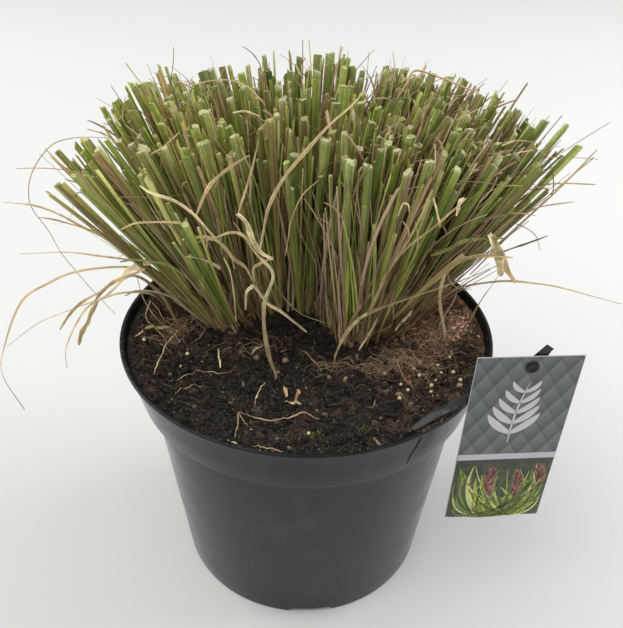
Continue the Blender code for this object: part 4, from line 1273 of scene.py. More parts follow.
def wandering_paths(layout, rng, count, wild, reach=0.085, longest=1.04):
    """Paths from the crown up to near some stem's cut end: foot + aim * t + bend * t^2, which
    stray more the wilder they are. Few of them follow the stems that lean out past reach.
    Returns the paths, the shares along them and t."""
    inner = outward_reach(layout) < reach
    weight = (1 + 2.2 * (layout.bases[:, 0] > 0.02))
    weight = weight * np.where(inner, 1.0, 1 - 0.95 * min(wild * 2, 1))
    pick = picked_stems(rng, count, weight)
    foot = at_soil(layout.bases[pick] + rng.normal(0, 0.003, (count, 2)))
    length = rng.uniform(0.40, longest, (count, 1)) * np.where(inner[pick], 1.0, 0.86)[:, None]
    aim = layout.tips[pick] - foot
    aim[:, :2] += rng.normal(0, 0.009 + 0.016 * wild, (count, 2))
    aim[:, 2] *= np.sqrt(np.clip(1.25 - (aim[:, :2] ** 2).sum(axis=1) / 0.03, 0.6, 1.0))
    share = np.linspace(0, 1, 12)[None]
    t = share * length
    bend = rng.normal(0, 0.008 + 0.016 * wild, (count, 3)) * [1, 1, 0.2]
    path = foot[:, None] + aim[:, None] * t[..., None] + bend[:, None] * (t ** 2)[..., None]
    return path, share, t


def straw_strands(layout, rng, count, wild):
    """Thin dead leaves that stand up among the stems; wild ones cross them at wider angles."""
    path, share, _ = wandering_paths(layout, rng, count, wild, longest=1.04 - 0.1 * wild)
    half = (rng.gamma(3.0, 0.00014, (count, 1)) + 0.00017) * (1 - 0.7 * share ** 2)
    side = rolling_sides(rng, count, share, 1.5)
    profile = ribbon_profile(half, 0.0003, rng.uniform(-0.6, 0.6, (count, 1)), 6)
    tan = shades_of(WARM_TANS, rng, count, 0.6, 1.15)
    # Painted light and shade: each straw's foot is darkened deep inside the crown and lightened at
    # its edge, evening out higher up.
    low = 0.62 + 0.66 * openness(path[:, 0])[:, None]
    tint = tan[:, None] * mixed(low, 1.0, smooth_step(0.1, 0.7, share))[..., None]
    return carried(path, side, profile, tint[:, :, None])


def crossing_blade_strands(layout, rng, count):
    """Flat green blades that lean across their neighbours, cut off square or at a slant."""
    path, _, t = wandering_paths(layout, rng, count, 0.45, 0.07)
    half = rng.uniform(0.0006, 0.0017, (count, 1)) * mixed(0.6, 1.0, smooth_step(0, 0.6, t))
    profile = ribbon_profile(half, 0.0004, rng.uniform(0.1, 0.7, (count, 1)))
    side = rolling_sides(rng, count, t, 0.5)
    tint = leaf_tint(t, tissue(count, rng, 0.12), rng, path[:, 0])
    tint = tint * striped(count, 4, rng, 0.8, 1.2)
    return carried(path, side, profile, tint, rng.uniform(-1.4, 1.4, (count, 2)))


def dead_blade_strands(layout, rng, count):
    """Broad withered blades between the stems, brown low down and tan at their torn ends."""
    path, share, t = wandering_paths(layout, rng, count, 0.2)
    half = rng.uniform(0.0006, 0.0018, (count, 1)) * (1 - 0.45 * share ** 3)
    profile = ribbon_profile(half, 0.0003, rng.uniform(0.1, 0.9, (count, 1)))
    side = rolling_sides(rng, count, share, 0.9)
    tan = shades_of(WARM_TANS, rng, count, 0.6, 1.2)
    # Painted shade: the brown foot of blades deep inside the crown is darkened.
    low = 0.55 + 0.45 * openness(path[:, 0])[:, None, None]
    rise = smooth_step(0.0, 0.5, t)[..., None]
    tint = mixed(PURPLE_BROWN * low, tan[:, None], rise)[:, :, None]
    tint = tint * striped(count, 4, rng, 0.75, 1.2)
    return carried(path, side, profile, tint, rng.uniform(-1.4, 1.4, (count, 2)))


def shredded_tip_strands(layout, rng, count):
    """Frayed dead leaf ends that lean and hook over between the cut ends at the right and the
    back: start + length * (heading * s + sideways * s^2 - droop * s^3)."""
    x, y = layout.tips[:, 0], layout.tips[:, 1]
    weight = 0.35 + 2.6 * (x > 0.03) * (x < 0.12) * (y > -0.01)
    weight = weight + 0.9 * (np.abs(x) < 0.03) + 0.6 * (x < -0.05)
    weight = weight * (outward_reach(layout) < 0.085)
    pick = picked_stems(rng, count, weight)
    foot = at_soil(layout.bases[pick])
    tip = layout.tips[pick]
    lean = tip - foot
    start = foot + lean * rng.uniform(0.45, 0.85, (count, 1)) + rng.normal(0, 0.004, (count, 3))
    heading = unit(unit(lean) + rng.normal(0, 0.20, (count, 3)))[:, None]
    sideways = rng.normal(0, 0.32, (count, 1, 3)) * [1, 1, 0.1]
    length = rng.uniform(0.020, 0.066, (count, 1, 1))
    room = (tip[:, 2] + 0.004 - start[:, 2]) / np.maximum(heading[:, 0, 2], 0.3)
    length = np.minimum(length, np.maximum(room, 0.012)[:, None, None])
    s = np.linspace(0, 1, 12)[None, :, None]
    droop = rng.uniform(0, 0.35, (count, 1, 1))
    path = start[:, None] + length * (heading * s + sideways * s ** 2 - droop * UP * s ** 3)
    half = rng.gamma(3.0, 0.00021, (count, 1)) + 0.00020
    profile = ribbon_profile(half * (1 - 0.6 * s[..., 0] ** 2), 0.0003, 0.4, 6)
    side = rolling_sides(rng, count, s[..., 0], 2.0)
    tint = shades_of(WARM_TANS, rng, count, 0.75, 1.25)
    return carried(path, side, profile, tint[:, None, None])


def curled_fibre_strands(layout, rng, count):
    """Hair-thin dead leaf ends caught on the stems: start + length * (heading * s - droop * s^2)
    + a loop of small radius about the heading."""
    x = layout.tips[:, 0]
    pick = picked_stems(rng, count, 1 + 2.5 * (x > 0.05) + 1.0 * (x < -0.09))
    foot = at_soil(layout.bases[pick])
    tip = layout.tips[pick]
    start = mixed(foot, tip, rng.uniform(0.35, 0.92, (count, 1)))
    outwards = unit((tip - foot) * [1, 1, 0.0] + 1e-6)
    heading = unit(rng.normal(0, 0.8, (count, 3)) * [1, 1, 0.7] + outwards * 0.5)
    length = rng.uniform(0.008, 0.026, (count, 1, 1))
    s = np.linspace(0, 1, 16)[None, :, None]
    first = unit(np.cross(heading, rng.normal(0, 1, (count, 3))))[:, None]
    second = np.cross(heading[:, None], first)
    turn = rng.uniform(0.8, 2.4, (count, 1, 1)) * math.pi * s
    loop = rng.uniform(0.12, 0.34, (count, 1, 1)) * length
    curl = first * np.sin(turn) + second * (1 - np.cos(turn))
    path = start[:, None] + length * (heading[:, None] * s - 0.45 * UP * s ** 2) + loop * curl
    half = rng.uniform(0.00014, 0.00042, (count, 1)) * (1 - 0.6 * s[..., 0] ** 2)
    tint = shades_of(WARM_TANS, rng, count, 0.55, 1.05)
    return carried(path, second, ribbon_profile(half, 0.00025, 0.3, 4), tint[:, None, None])


def litter_strands(rng, count):
    """Old short leaf ends that stand and curl between the stems' feet."""
    ground = grid_inside(crown_outline(), 0.002, -0.001)
    foot = ground[rng.integers(0, len(ground), count)] + rng.normal(0, 0.001, (count, 2))
    slope = base_slope(foot) * 0.8 + rng.normal(0, 0.22, (count, 2))
    length = rng.gamma(2.5, 0.012, (count, 1)) + 0.008
    length = np.minimum(length, 0.070 / (1 + 1.6 * (slope ** 2).sum(axis=1, keepdims=True)))
    share = np.linspace(0, 1, 9)[None]
    rise = unit(np.column_stack([slope, np.ones(count)]))
    bend = rng.normal(0, 0.24, (count, 3)) * [1, 1, 0.5]
    path = at_soil(foot)[:, None] + rise[:, None] * (share * length)[..., None]
    path = path + bend[:, None] * (share ** 2 * length)[..., None]
    half = rng.gamma(3.0, 0.00019, (count, 1)) * (1 - 0.7 * share ** 2) + 0.0001
    side = rolling_sides(rng, count, share, 1.5)
    tint = shades_of(LITTER_TANS, rng, count, 0.7, 1.3)
    return carried(path, side, ribbon_profile(half, 0.0003, 0.3, 6), tint[:, None, None])


def build_straws(layout, dry, blade, cut):
    """What stands and hangs among the stems, each kind as pieces of its own."""
    rng = np.random.default_rng(SEED + 30)
    for number, count, wild in STRAW_GROUPS:
        straws = straw_strands(layout, rng, count, wild)
        make_piece(f"dry_straws_{number}", [strand_part(straws)], (dry,))
    blades = crossing_blade_strands(layout, rng, CROSSING_BLADE_COUNT)
    make_piece("crossing_blades", [strand_part(blades, far_material=1)], (blade, cut))
    kinds = (
        ("dead_blades", dead_blade_strands, DEAD_BLADE_COUNT),
        ("shredded_tips", shredded_tip_strands, SHREDDED_TIP_COUNT),
        ("curled_fibres", curled_fibre_strands, CURLED_FIBRE_COUNT),
    )
    for name, strands, count in kinds:
        make_piece(name, [strand_part(strands(layout, rng, count))], (dry,))
    litter = litter_strands(rng, LITTER_COUNT)
    make_piece("crown_litter", [strand_part(litter)], (dry,))


# Soil


def soil_bank(x, y):
    """How far the compost is banked up against the wall: at the sides and the back only."""
    outwards = smooth_step(SOIL_BANK_START, SOIL_BANK_END, np.hypot(x, y))
    return SOIL_BANK * outwards * smooth_step(*SOIL_BANK_FRONT, y)


def collar_radius(z):
    """Outer radius of the collar at height z, without the rim's bead."""
    share = (z - COLLAR_BOTTOM_Z) / (POT_HEIGHT - COLLAR_BOTTOM_Z)
    return COLLAR_BOTTOM_RADIUS + (RIM_RADIUS - RIM_BEAD - COLLAR_BOTTOM_RADIUS) * share


def soil_edge(angle):
    """Radius of the compost where it meets the sloping collar, at each angle."""
    level = SOIL_Z + soil_bank(BANK_RADIUS * np.cos(angle), BANK_RADIUS * np.sin(angle))
    return collar_radius(level) - WALL - 0.0005


def soil_height(x, y):
    """Level of the compost: broad lumps, clods with sunk seams between them, grains, a mound
    under the crown, and the bank against the wall."""
    outline = crown_outline(60)
    flat = np.stack([np.ravel(x), np.ravel(y)], axis=1)
    inside = depth_inside(flat, outline).reshape(np.shape(x))
    mound = 0.004 * smooth_step(-0.014, 0.010, inside)
    broad = 0.0024 * layered_noise(x, y, 0.020, 41, 2)
    clods = 0.0044 * (0.4 - np.abs(layered_noise(x, y, 0.0085, 47, 2)) ** 0.6)
    grains = 0.0022 * np.abs(layered_noise(x, y, 0.0024, 53, 2))
    return SOIL_Z + mound + broad + clods + grains - 0.0010 + soil_bank(x, y)


def soil_tint(x, y):
    """Nearly black with brown patches, and browner fibrous ground at the right and left back."""
    dark = paint(21, 19, 17)
    brown = paint(84, 68, 52)
    dry = paint(158, 124, 98)
    patch = layered_noise(x, y, 0.011, 61, 3)
    bits = layered_noise(x, y, 0.0045, 71, 3)
    right = smooth_step(0.03, 0.10, x)
    back = smooth_step(-0.03, 0.04, y) * right
    left = smooth_step(-0.05, -0.11, x) * smooth_step(-0.03, 0.05, y)
    share = np.clip(-0.08 + 0.8 * patch + 0.6 * bits + 0.22 * right + 0.4 * left, 0, 1)
    colour = mixed(dark, brown, share[..., None])
    dry_share = np.clip(0.75 * back + 0.5 * (patch + bits) * right, 0, 0.9)
    colour = mixed(colour, dry, dry_share[..., None])
    fine = 1 + 0.7 * layered_noise(x, y, 0.004, 67, 3)
    return colour * fine[..., None]


def fibre_weight(x, y):
    """Where dead roots and fibres gather: the right, the back and the left edge."""
    right = smooth_step(0.03, 0.10, x) * smooth_step(-0.10, -0.03, y)
    return np.clip(0.30 + 0.7 * right + 0.35 * smooth_step(-0.07, -0.11, x), 0, 1)


def over_soil(flat, lift=0.0):
    """Level places raised to the compost's surface, and by lift above it."""
    height = soil_height(flat[..., 0], flat[..., 1]) + lift
    return np.concatenate([flat, height[..., None]], axis=-1)


def kept_inside_rim(flat, margin):
    """Level places, with those past the compost's edge drawn in towards the pot's axis."""
    reach = np.linalg.norm(flat, axis=-1)
    edge = soil_edge(np.arctan2(flat[..., 1], flat[..., 0])) - margin
    return flat * np.minimum(1, edge / np.maximum(reach, 1e-6))[..., None]


def on_soil(rng, count, weight=None):
    """Random places on the open soil, with their heights; weight thins them out by place."""
    places = np.empty((0, 2))
    outline = crown_outline(60)
    widest = WIDEST_SOIL - OPEN_SOIL_MARGIN
    while len(places) < count:
        radius = np.sqrt(rng.uniform(0, widest ** 2, count * 3))
        angle = rng.uniform(0, 2 * math.pi, count * 3)
        found = np.stack([radius * np.cos(angle), radius * np.sin(angle)], axis=1)
        found = found[radius < soil_edge(angle) - OPEN_SOIL_MARGIN]
        found = found[depth_inside(found, outline) < 0.004]
        if weight is not None:
            found = found[rng.uniform(0, 1, len(found)) < weight(*found.T)]
        places = np.vstack([places, found])
    return over_soil(places[:count])


def crumbs_part(rng, count):
    """Loose lumps and chips of compost: turned, squashed or drawn out icosahedra half sunk in
    the surface."""
    centres = on_soil(rng, count)
    size = np.minimum(rng.gamma(1.5, 0.00044, count) + 0.0003, 0.0040)
    stretch = rng.uniform(0.5, 1.2, (count, 1, 3))
    chips = rng.uniform(0, 1, count) < 0.35
    stretch[chips] = stretch[chips] * [2.4, 0.6, 0.35]
    axes = random_turns(rng, count) * size[:, None, None] * stretch
    centres[:, 2] += size * 0.3
    tint = soil_tint(centres[:, 0], centres[:, 1]) * rng.uniform(0.4, 1.6, (count, 1))
    pale = rng.uniform(0, 1, count) < 0.05
    tint[pale] = paint(160, 134, 106) * rng.uniform(0.3, 1.0, (pale.sum(), 1))
    return lumps_part(centres, axes, tint)


def bits_part(rng, centres, size, colour, low, high):
    """Squashed lumps of one colour, each turned its own way and lit its own share."""
    count = len(centres)
    axes = random_turns(rng, count) * size[:, None, None] * rng.uniform(0.5, 1.2, (count, 1, 3))
    return lumps_part(centres, axes, colour * rng.uniform(low, high, (count, 1)))


def pink_bits_part(rng, count):
    """A patch of pale pinkish bark bits at the right, close together."""
    flat = np.array(PINK_BITS_MM) * MM + rng.normal(0, 1, (count, 2)) * PINK_BITS_SPREAD
    size = rng.uniform(0.0006, 0.0017, count)
    centres = over_soil(kept_inside_rim(flat, 0.003), size * 0.6)
    return bits_part(rng, centres, size, paint(232, 188, 170), 0.5, 1.3)


def rim_crumbs_part(rng):
    """Specks of compost that lie on the rim, along the listed ranges of bearing."""
    angle = np.concatenate([np.radians(rng.uniform(low, high, count))
                            for low, high, count in RIM_CRUMB_RANGES])
    radius = rng.uniform(RIM_RADIUS - 0.0024, RIM_RADIUS - 0.0006, len(angle))
    size = np.minimum(rng.gamma(2.0, 0.00022, len(angle)) + 0.0002, 0.0010)
    centres = polar(radius, angle, POT_HEIGHT + size * 0.4)
    return bits_part(rng, centres, size, paint(74, 60, 48), 0.5, 1.6)


def fibre_strands(rng, count):
    """Fine roots and bark fibres lying on the compost, partly buried: headings turn evenly
    along each one, and each bows up a little in its middle."""
    centres = on_soil(rng, count, fibre_weight)
    heading = rng.uniform(0, 2 * math.pi, (count, 1))
    length = np.minimum(rng.gamma(1.5, 0.0034, count) + 0.002, 0.024)
    share = np.linspace(-0.5, 0.5, 6)[None]
    angle = heading + rng.normal(0, 0.45, (count, 1)) * share
    step = np.stack([np.cos(angle), np.sin(angle)], axis=-1) * length[:, None, None]
    flat = kept_inside_rim(centres[:, None, :2] + step * share[..., None], 0.001)
    lift = rng.uniform(-0.0004, 0.0020, (count, 1)) * (1 - (2 * share) ** 2) + 0.0003
    half = (rng.gamma(2.5, 0.00007, (count, 1)) + 0.00008) * (1 - 1.2 * share ** 2)
    tint = shades_of(FIBRE_BROWNS, rng, count, 0.5, 1.1)
    lively = np.clip(0.45 + 0.6 * fibre_weight(centres[:, 0], centres[:, 1]), 0, 1.05)
    tint = (tint * lively[:, None])[:, None, None]
    return carried(over_soil(flat, lift), UP, ribbon_profile(half, 0.0002, corners=4), tint)


def tangle_strands(rng):
    """Tangles of fine roots: each hair loops over the compost near the middle of its tangle, as
    a level arc whose heading turns evenly, raised a little in its middle."""
    rows = np.array([row[:4] for row in TANGLES_MM], float) * MM
    which = np.repeat(np.arange(len(rows)), [row[4] for row in TANGLES_MM])
    count = len(which)
    middle = rows[which, :2] + rng.normal(0, 1, (count, 2)) * rows[which, 2:] * 0.6
    share = np.linspace(-0.5, 0.5, 12)[None]
    length = rng.uniform(0.006, 0.028, (count, 1))
    angle = rng.uniform(0, 6.28, (count, 1)) + rng.normal(0, 1.6, (count, 1)) * share
    angle = angle + 0.35 * np.sin(share * rng.uniform(8, 22, (count, 1)))
    steps = np.stack([np.cos(angle), np.sin(angle)], axis=-1) * length[..., None] / 11
    flat = middle[:, None] + np.cumsum(steps, axis=1) - steps.sum(axis=1, keepdims=True) / 2
    lift = rng.uniform(0.0002, 0.0045, (count, 1)) * (1 - (2 * share) ** 2) + 0.0004
    half = rng.uniform(0.00011, 0.00030, (count, 1)) * (1 - 0.8 * (2 * share) ** 2)
    tint = shades_of(TANGLE_TANS, rng, count, 0.55, 1.2)[:, None, None]
    path = over_soil(kept_inside_rim(flat, 0.002), lift)
    return carried(path, UP, ribbon_profile(half, 0.0002, corners=4), tint)


def build_beads(rng, bead):
    """Slow-release fertiliser beads: small round grains, most of them at the right."""
    height = np.linspace(0.02, math.pi - 0.02, 9)[:, None]
    angle = round_angles(12)
    ball = polar(np.sin(height), angle, np.cos(height))[::-1]
    parts = []
    for place in over_soil(np.array(BEADS_MM) * MM):
        size = rng.uniform(0.0009, 0.0015)
        stretch = [1, rng.uniform(0.85, 1), rng.uniform(0.85, 1)]
        tint = paint(222, 214, 166) * rng.uniform(0.7, 1.1)
        parts += turned_parts(place + UP * size * 0.9 + ball * size * stretch, tint)
    make_piece("fertiliser_beads", parts, (bead,))


def build_moss(rng, moss):
    """Specks of green moss: tiny tufts of short leaves at the front of the soil."""
    centres = np.repeat(np.array(MOSS_MM) * MM, MOSS_LEAVES, axis=0)
    centres = centres + rng.normal(0, 0.0016, centres.shape)
    count = len(centres)
    lean = rng.normal(0, 0.6, (count, 3)) * [1, 1, 0] + UP
    share = np.linspace(0, 1, 4)[None]
    rise = share * rng.uniform(0.0012, 0.0030, (count, 1))
    path = over_soil(centres)[:, None] + unit(lean)[:, None] * rise[..., None]
    profile = ribbon_profile(0.00035 * (1 - 0.8 * share), 0.0002, corners=4)
    side = unit(rng.normal(size=(count, 3)))[:, None]
    tint = paint(138, 138, 66) * rng.uniform(0.6, 1.2, (count, 1))
    leaves = carried(path, side, profile, tint[:, None, None])
    make_piece("moss_specks", [strand_part(leaves)], (moss,))


def build_soil(compost, dry, bead, moss):
    """The compost: top, side and floor in one closed body, with what lies on it."""
    rng = np.random.default_rng(SEED + 40)
    angle = round_angles(SOIL_COLUMNS)
    radius = soil_edge(angle) * np.linspace(1, 0.002, SOIL_RINGS)[:, None]
    x = radius * np.cos(angle)
    y = radius * np.sin(angle)
    rim = smooth_step(0.0, 0.005, soil_edge(angle) - radius)
    height = mixed(SOIL_Z - 0.0005 + soil_bank(x, y), soil_height(x, y), rim)
    top = np.stack([x, y, height], axis=-1)
    wall = [polar(r, angle, z) for r, z in ((0.002, 0.0080), (0.090, 0.0080), (0.1095, 0.1600),
                                            (0.1095, 0.1630), (0.1165, 0.1640))]
    points = np.concatenate([wall, top])
    parts = turned_parts(points, soil_tint(points[..., 0], points[..., 1]))
    make_piece("compost_surface", parts, (compost,), ("soil",), sharp=180)
    crumbs = [crumbs_part(rng, CRUMB_COUNT), pink_bits_part(rng, PINK_BIT_COUNT),
              rim_crumbs_part(rng)]
    make_piece("compost_crumbs", crumbs, (compost,), sharp=30)
    fibres = fibre_strands(rng, FIBRE_COUNT)
    make_piece("compost_fibres", [strand_part(fibres)], (dry,))
    make_piece("root_tangles", [strand_part(tangle_strands(rng))], (dry,))
    build_beads(rng, bead)
    build_moss(rng, moss)


# Single fine leaves and roots


def facing_sides(path, facing, twist):
    """Width directions that turn a leaf's flat towards facing, rolled by twist along it."""
    along = unit(np.gradient(path, axis=1))
    side = unit(np.cross(along, facing))
    face = np.cross(along, side)
    return side * np.cos(twist)[..., None] + face * np.sin(twist)[..., None]


def laid_on_soil(level):
    """Level routes raised to just above the compost, each bowed up a little in the middle."""
    return over_soil(level, 0.0009 + 0.0022 * np.sin(np.linspace(0, math.pi, level.shape[1])))


def listed_strands(leaves, facing, rng, settle=None):
    """Ribbons along listed routes; settle turns level routes into ones that lie on the soil."""
    rings = 36
    kinds, widths, routes = zip(*leaves)
    paths = np.array([smooth_path(np.array(route, float) * MM, rings) for route in routes])
    if settle is not None:
        paths = settle(paths)
    count = len(leaves)
    share = np.linspace(0, 1, rings)[None]
    half = np.array(widths)[:, None] * MM / 2 * 0.80
    half = half * (0.30 + 0.75 * np.sin(math.pi * mixed(0.06, 0.97, share)) ** 0.7)
    wave = rng.uniform(0, 6.28, (count, 1))
    half = half * (1 + 0.14 * np.sin(share * rng.uniform(9, 26, (count, 1)) + wave))
    twist = 0.6 * np.sin(share * rng.uniform(2, 8, (count, 1)) + wave)
    profile = ribbon_profile(half, 0.0003, 0.40 + 0.35 * np.sin(share * 8 + wave))
    tone = 1 + 0.16 * np.sin(share * rng.uniform(5, 20, (count, 1)) + 2 * wave)
    tint = np.array([LEAF_COLOURS[kind] for kind in kinds])[:, None] * tone[..., None]
    tint = tint * (1 + 0.08 * rng.normal(0, 1, (count, rings, 1)))
    across = (1 + 0.25 * np.array([1, -1, -0.6, 1, 1, -0.6, -1, 1]))[None, None, :, None]
    return carried(paths, facing_sides(paths, facing, twist), profile, tint[:, :, None] * across)


def build_fine_leaves(dry):
    """Single leaves and roots that show in the photograph, along their listed routes."""
    rng = np.random.default_rng(SEED + 60)
    facing = np.array([0.0, -0.82, 0.57])
    leaves = listed_strands(FINE_LEAVES_MM, facing, rng)
    make_piece("fine_dry_leaves", [strand_part(leaves)], (dry,))
    roots = listed_strands(ROOTS_MM, UP, rng, laid_on_soil)
    make_piece("roots_and_leaf_bits", [strand_part(roots)], (dry,))


# Pot


def wall_radius(z):
    """Outer radius of the pot's wall at height z."""
    return FOOT_RADIUS + (WALL_TOP_RADIUS - FOOT_RADIUS) * z / COLLAR_BOTTOM_Z


def rounded(points, radius, steps=4):
    """An outline with each inner corner replaced by a short arc-like curve: the quadratic
    curve from radius before the corner to radius after it, drawn in steps."""
    points = np.array(points, float)
    out = [points[0]]
    t = np.linspace(0, 1, steps + 1)[:, None]
    for before, corner, after in zip(points, points[1:], points[2:]):
        reach_in = min(radius, np.linalg.norm(corner - before) / 2.2)
        reach_out = min(radius, np.linalg.norm(after - corner) / 2.2)
        start = corner + (before - corner) / np.linalg.norm(before - corner) * reach_in
        end = corner + (after - corner) / np.linalg.norm(after - corner) * reach_out
        out += list((1 - t) ** 2 * start + 2 * t * (1 - t) * corner + t ** 2 * end)
    out.append(points[-1])
    return np.array(out)


def pot_outline():
    """The pot's wall as (radius, height), from the middle of its underside round the rim to the
    middle of its floor, with rounded corners and further points along its long stretches."""
    floor_z = FOOT_HEIGHT + BASE_THICKNESS
    ledge_z = COLLAR_BOTTOM_Z + WALL
    bead_z = POT_HEIGHT - RIM_BEAD_HEIGHT
    outline = rounded([
        (0.0005, 0.0),
        (BASE_BOSS_RADIUS, 0.0),
        (BASE_BOSS_RADIUS + FOOT_DRAFT, FOOT_HEIGHT),
        (FOOT_RADIUS - FOOT_RING_WIDTH - FOOT_DRAFT, FOOT_HEIGHT),
        (FOOT_RADIUS - FOOT_RING_WIDTH, 0.0),
        (FOOT_RADIUS, 0.0),
        (WALL_TOP_RADIUS, COLLAR_BOTTOM_Z),
        (COLLAR_BOTTOM_RADIUS, COLLAR_BOTTOM_Z),
        (collar_radius(bead_z), bead_z),
        (RIM_RADIUS, bead_z + 0.0008),
        (RIM_RADIUS, POT_HEIGHT),
        (collar_radius(POT_HEIGHT) - WALL, POT_HEIGHT),
        (collar_radius(ledge_z) - WALL, ledge_z + 0.0008),
        (WALL_TOP_RADIUS - WALL, ledge_z),
        (wall_radius(floor_z) - WALL, floor_z),
        (0.0005, floor_z),
    ], 0.0011)
    fine = []
    for a, b in zip(outline, outline[1:]):
        pieces = max(1, int(np.linalg.norm(b - a) / 0.012))
        fine += [mixed(a, b, k / pieces) for k in range(pieces)]
    return np.array(fine + [outline[-1]])


def cut_drain_holes(pot):
    """Six round drain holes through the pot's base, cut by short rods that are then removed."""
    corners = 24
    spoke = (np.arange(DRAIN_COUNT) + 0.5) * 2 * math.pi / DRAIN_COUNT
    middle = level_directions(spoke) * DRAIN_CIRCLE_RADIUS
    around = level_directions(round_angles(corners)) * DRAIN_RADIUS
    levels = UP * np.array([-0.002, 0.0078])[:, None, None]
    points = middle[:, None, None] + levels + around
    first = np.arange(DRAIN_COUNT)[:, None] * 2 * corners
    low = first + np.arange(corners)
    before = np.roll(low, 1, axis=1)
    walls = np.stack([before, low, low + corners, before + corners], axis=-1).reshape(-1, 4)
    ends = np.concatenate([low[:, ::-1], low + corners])
    mesh = bpy.data.meshes.new("drain_rods")
    mesh.from_pydata(points.reshape(-1, 3), [], ends.tolist() + walls.tolist())
    rods = bpy.data.objects.new("drain_rods", mesh)
    bpy.context.scene.collection.objects.link(rods)
    cut = pot.modifiers.new("drain_holes", "BOOLEAN")
    cut.operation = "DIFFERENCE"
    cut.solver = "EXACT"
    cut.object = rods
    bpy.context.view_layer.update()
    finished = pot.evaluated_get(bpy.context.evaluated_depsgraph_get())
    shell = bpy.data.meshes.new_from_object(finished)
    pot.modifiers.clear()
    pot.data = shell
    bpy.data.objects.remove(rods)


def collar_streak_part():
    """A dark streak down the collar: a thin ragged ribbon along the listed bearings and
    heights, widest at its top."""
    rings = 40
    bearing, z = np.array(COLLAR_STREAK).T
    route = polar(collar_radius(z) + 0.00012, np.radians(bearing), z)
    path = smooth_path(route, rings)[None]
    share = np.linspace(0, 1, rings)[None]
    half = mixed(0.00115, 0.00045, share) * np.sin(math.pi * mixed(0.08, 0.97, share)) ** 0.4
    half = half * (1 + 0.45 * np.sin(share * 61) * np.sin(share * 23))
    side = np.cross(path * [1, 1, 0], UP)
    return strand_part(carried(path, side, ribbon_profile(half, 0.0003, corners=4), STREAK_DARK))


def build_pot(plastic, collar_plastic):
    """The pot: a turned outline, with notches where the foot's lowest rings rise. Its collar
    has a duller plastic than the wall below it."""
    angle = round_angles(POT_COLUMNS)
    radius, height = pot_outline().T[..., None]
    step = 2 * math.pi / NOTCH_COUNT
    off = (angle - (NOTCH_TURN - math.pi / 2) + step / 2) % step - step / 2
    half_angle = NOTCH_WIDTH / 2 / FOOT_RADIUS
    notch = NOTCH_HEIGHT * (1 - smooth_step(half_angle - 0.008, half_angle + 0.012, np.abs(off)))
    foot = smooth_step(BASE_BOSS_RADIUS + 0.03, BASE_BOSS_RADIUS + 0.04, radius)
    points = polar(radius, angle, np.maximum(height, notch * foot))
    parts = turned_parts(points, paint(48, 52, 54), flip=True)
    wall = parts[0]
    middle_z = wall["points"][wall["faces"]].mean(axis=1)[:, 2]
    wall["material"] = np.where(middle_z > COLLAR_BOTTOM_Z, 1, 0)
    plastics = (plastic, collar_plastic)
    shell = make_piece("pot_shell", parts, plastics, ("pot",), sharp=60)
    cut_drain_holes(shell)
    dirt = plain_material("dark_collar_streak", STREAK_DARK, 0.8, 0.2)
    make_piece("collar_streak", [collar_streak_part()], (dirt,))


# Label


def from_card(points):
    """Card coordinates (x across, y behind, z up, from its centre) turned into the frame's."""
    return np.asarray(points) @ np.array(Euler(CARD_TURN).to_matrix()).T + np.array(CARD_CENTRE)


def on_card(part):
    """A part made in card coordinates, moved to the card's place; its pattern stays on it."""
    part["points"] = from_card(part["points"])
    return part


def card_material():
    """The printed front: a soft diamond quilt over a pale band and a dark picture ground.
    It reads the card's own coordinates from the place attribute."""
    made, tree, shader = new_material("card_print", 0.36, 0.45)
    place = attribute(tree, "place", "Vector")
    x, y, z = node_with(tree, "ShaderNodeSeparateXYZ", {0: place}).outputs
    down = math_node(tree, "DIVIDE", math_node(tree, "SUBTRACT", CARD_HEIGHT / 2, z), CARD_HEIGHT)
    lean = math_node(tree, "MULTIPLY", z, 0.62)
    slides = [math_node(tree, "DIVIDE", math_node(tree, sign, x, lean), 0.0125)
              for sign in ("ADD", "SUBTRACT")]
    waves = [math_node(tree, "FRACT", slide) for slide in slides]
    edges = [math_node(tree, "ABSOLUTE", math_node(tree, "SUBTRACT", wave, 0.5)) for wave in waves]
    lit = math_node(tree, "SUBTRACT", math_node(tree, "MULTIPLY", waves[0], 0.35), waves[1])
    quilt = mix_colours(tree, map_range(tree, lit, -0.95, 0.30), paint(76, 79, 80),
                        paint(116, 120, 121))
    dark_lines = map_range(tree, math_node(tree, "MAXIMUM", *edges), 0.40, 0.495, 0.0, 0.55)
    colour = mix_colours(tree, dark_lines, quilt, paint(70, 73, 74))
    haze = noise_on(tree, place, 160.0, 3.0, 0.6)
    ground = mix_colours(tree, map_range(tree, haze, 0.35, 0.65), paint(38, 44, 34),
                         paint(70, 80, 50))
    bands = (
        (down, 0.567, paint(186, 189, 188)),
        (down, 0.603, paint(56, 58, 58)),
        (down, 0.628, ground),
        (y, -CARD_THICKNESS * 0.49, paint(168, 170, 168)),
    )
    for way, edge, band in bands:
        colour = mix_colours(tree, math_node(tree, "GREATER_THAN", way, edge), colour, band)
    feed(tree, shader.inputs["Base Color"], colour)
    return made


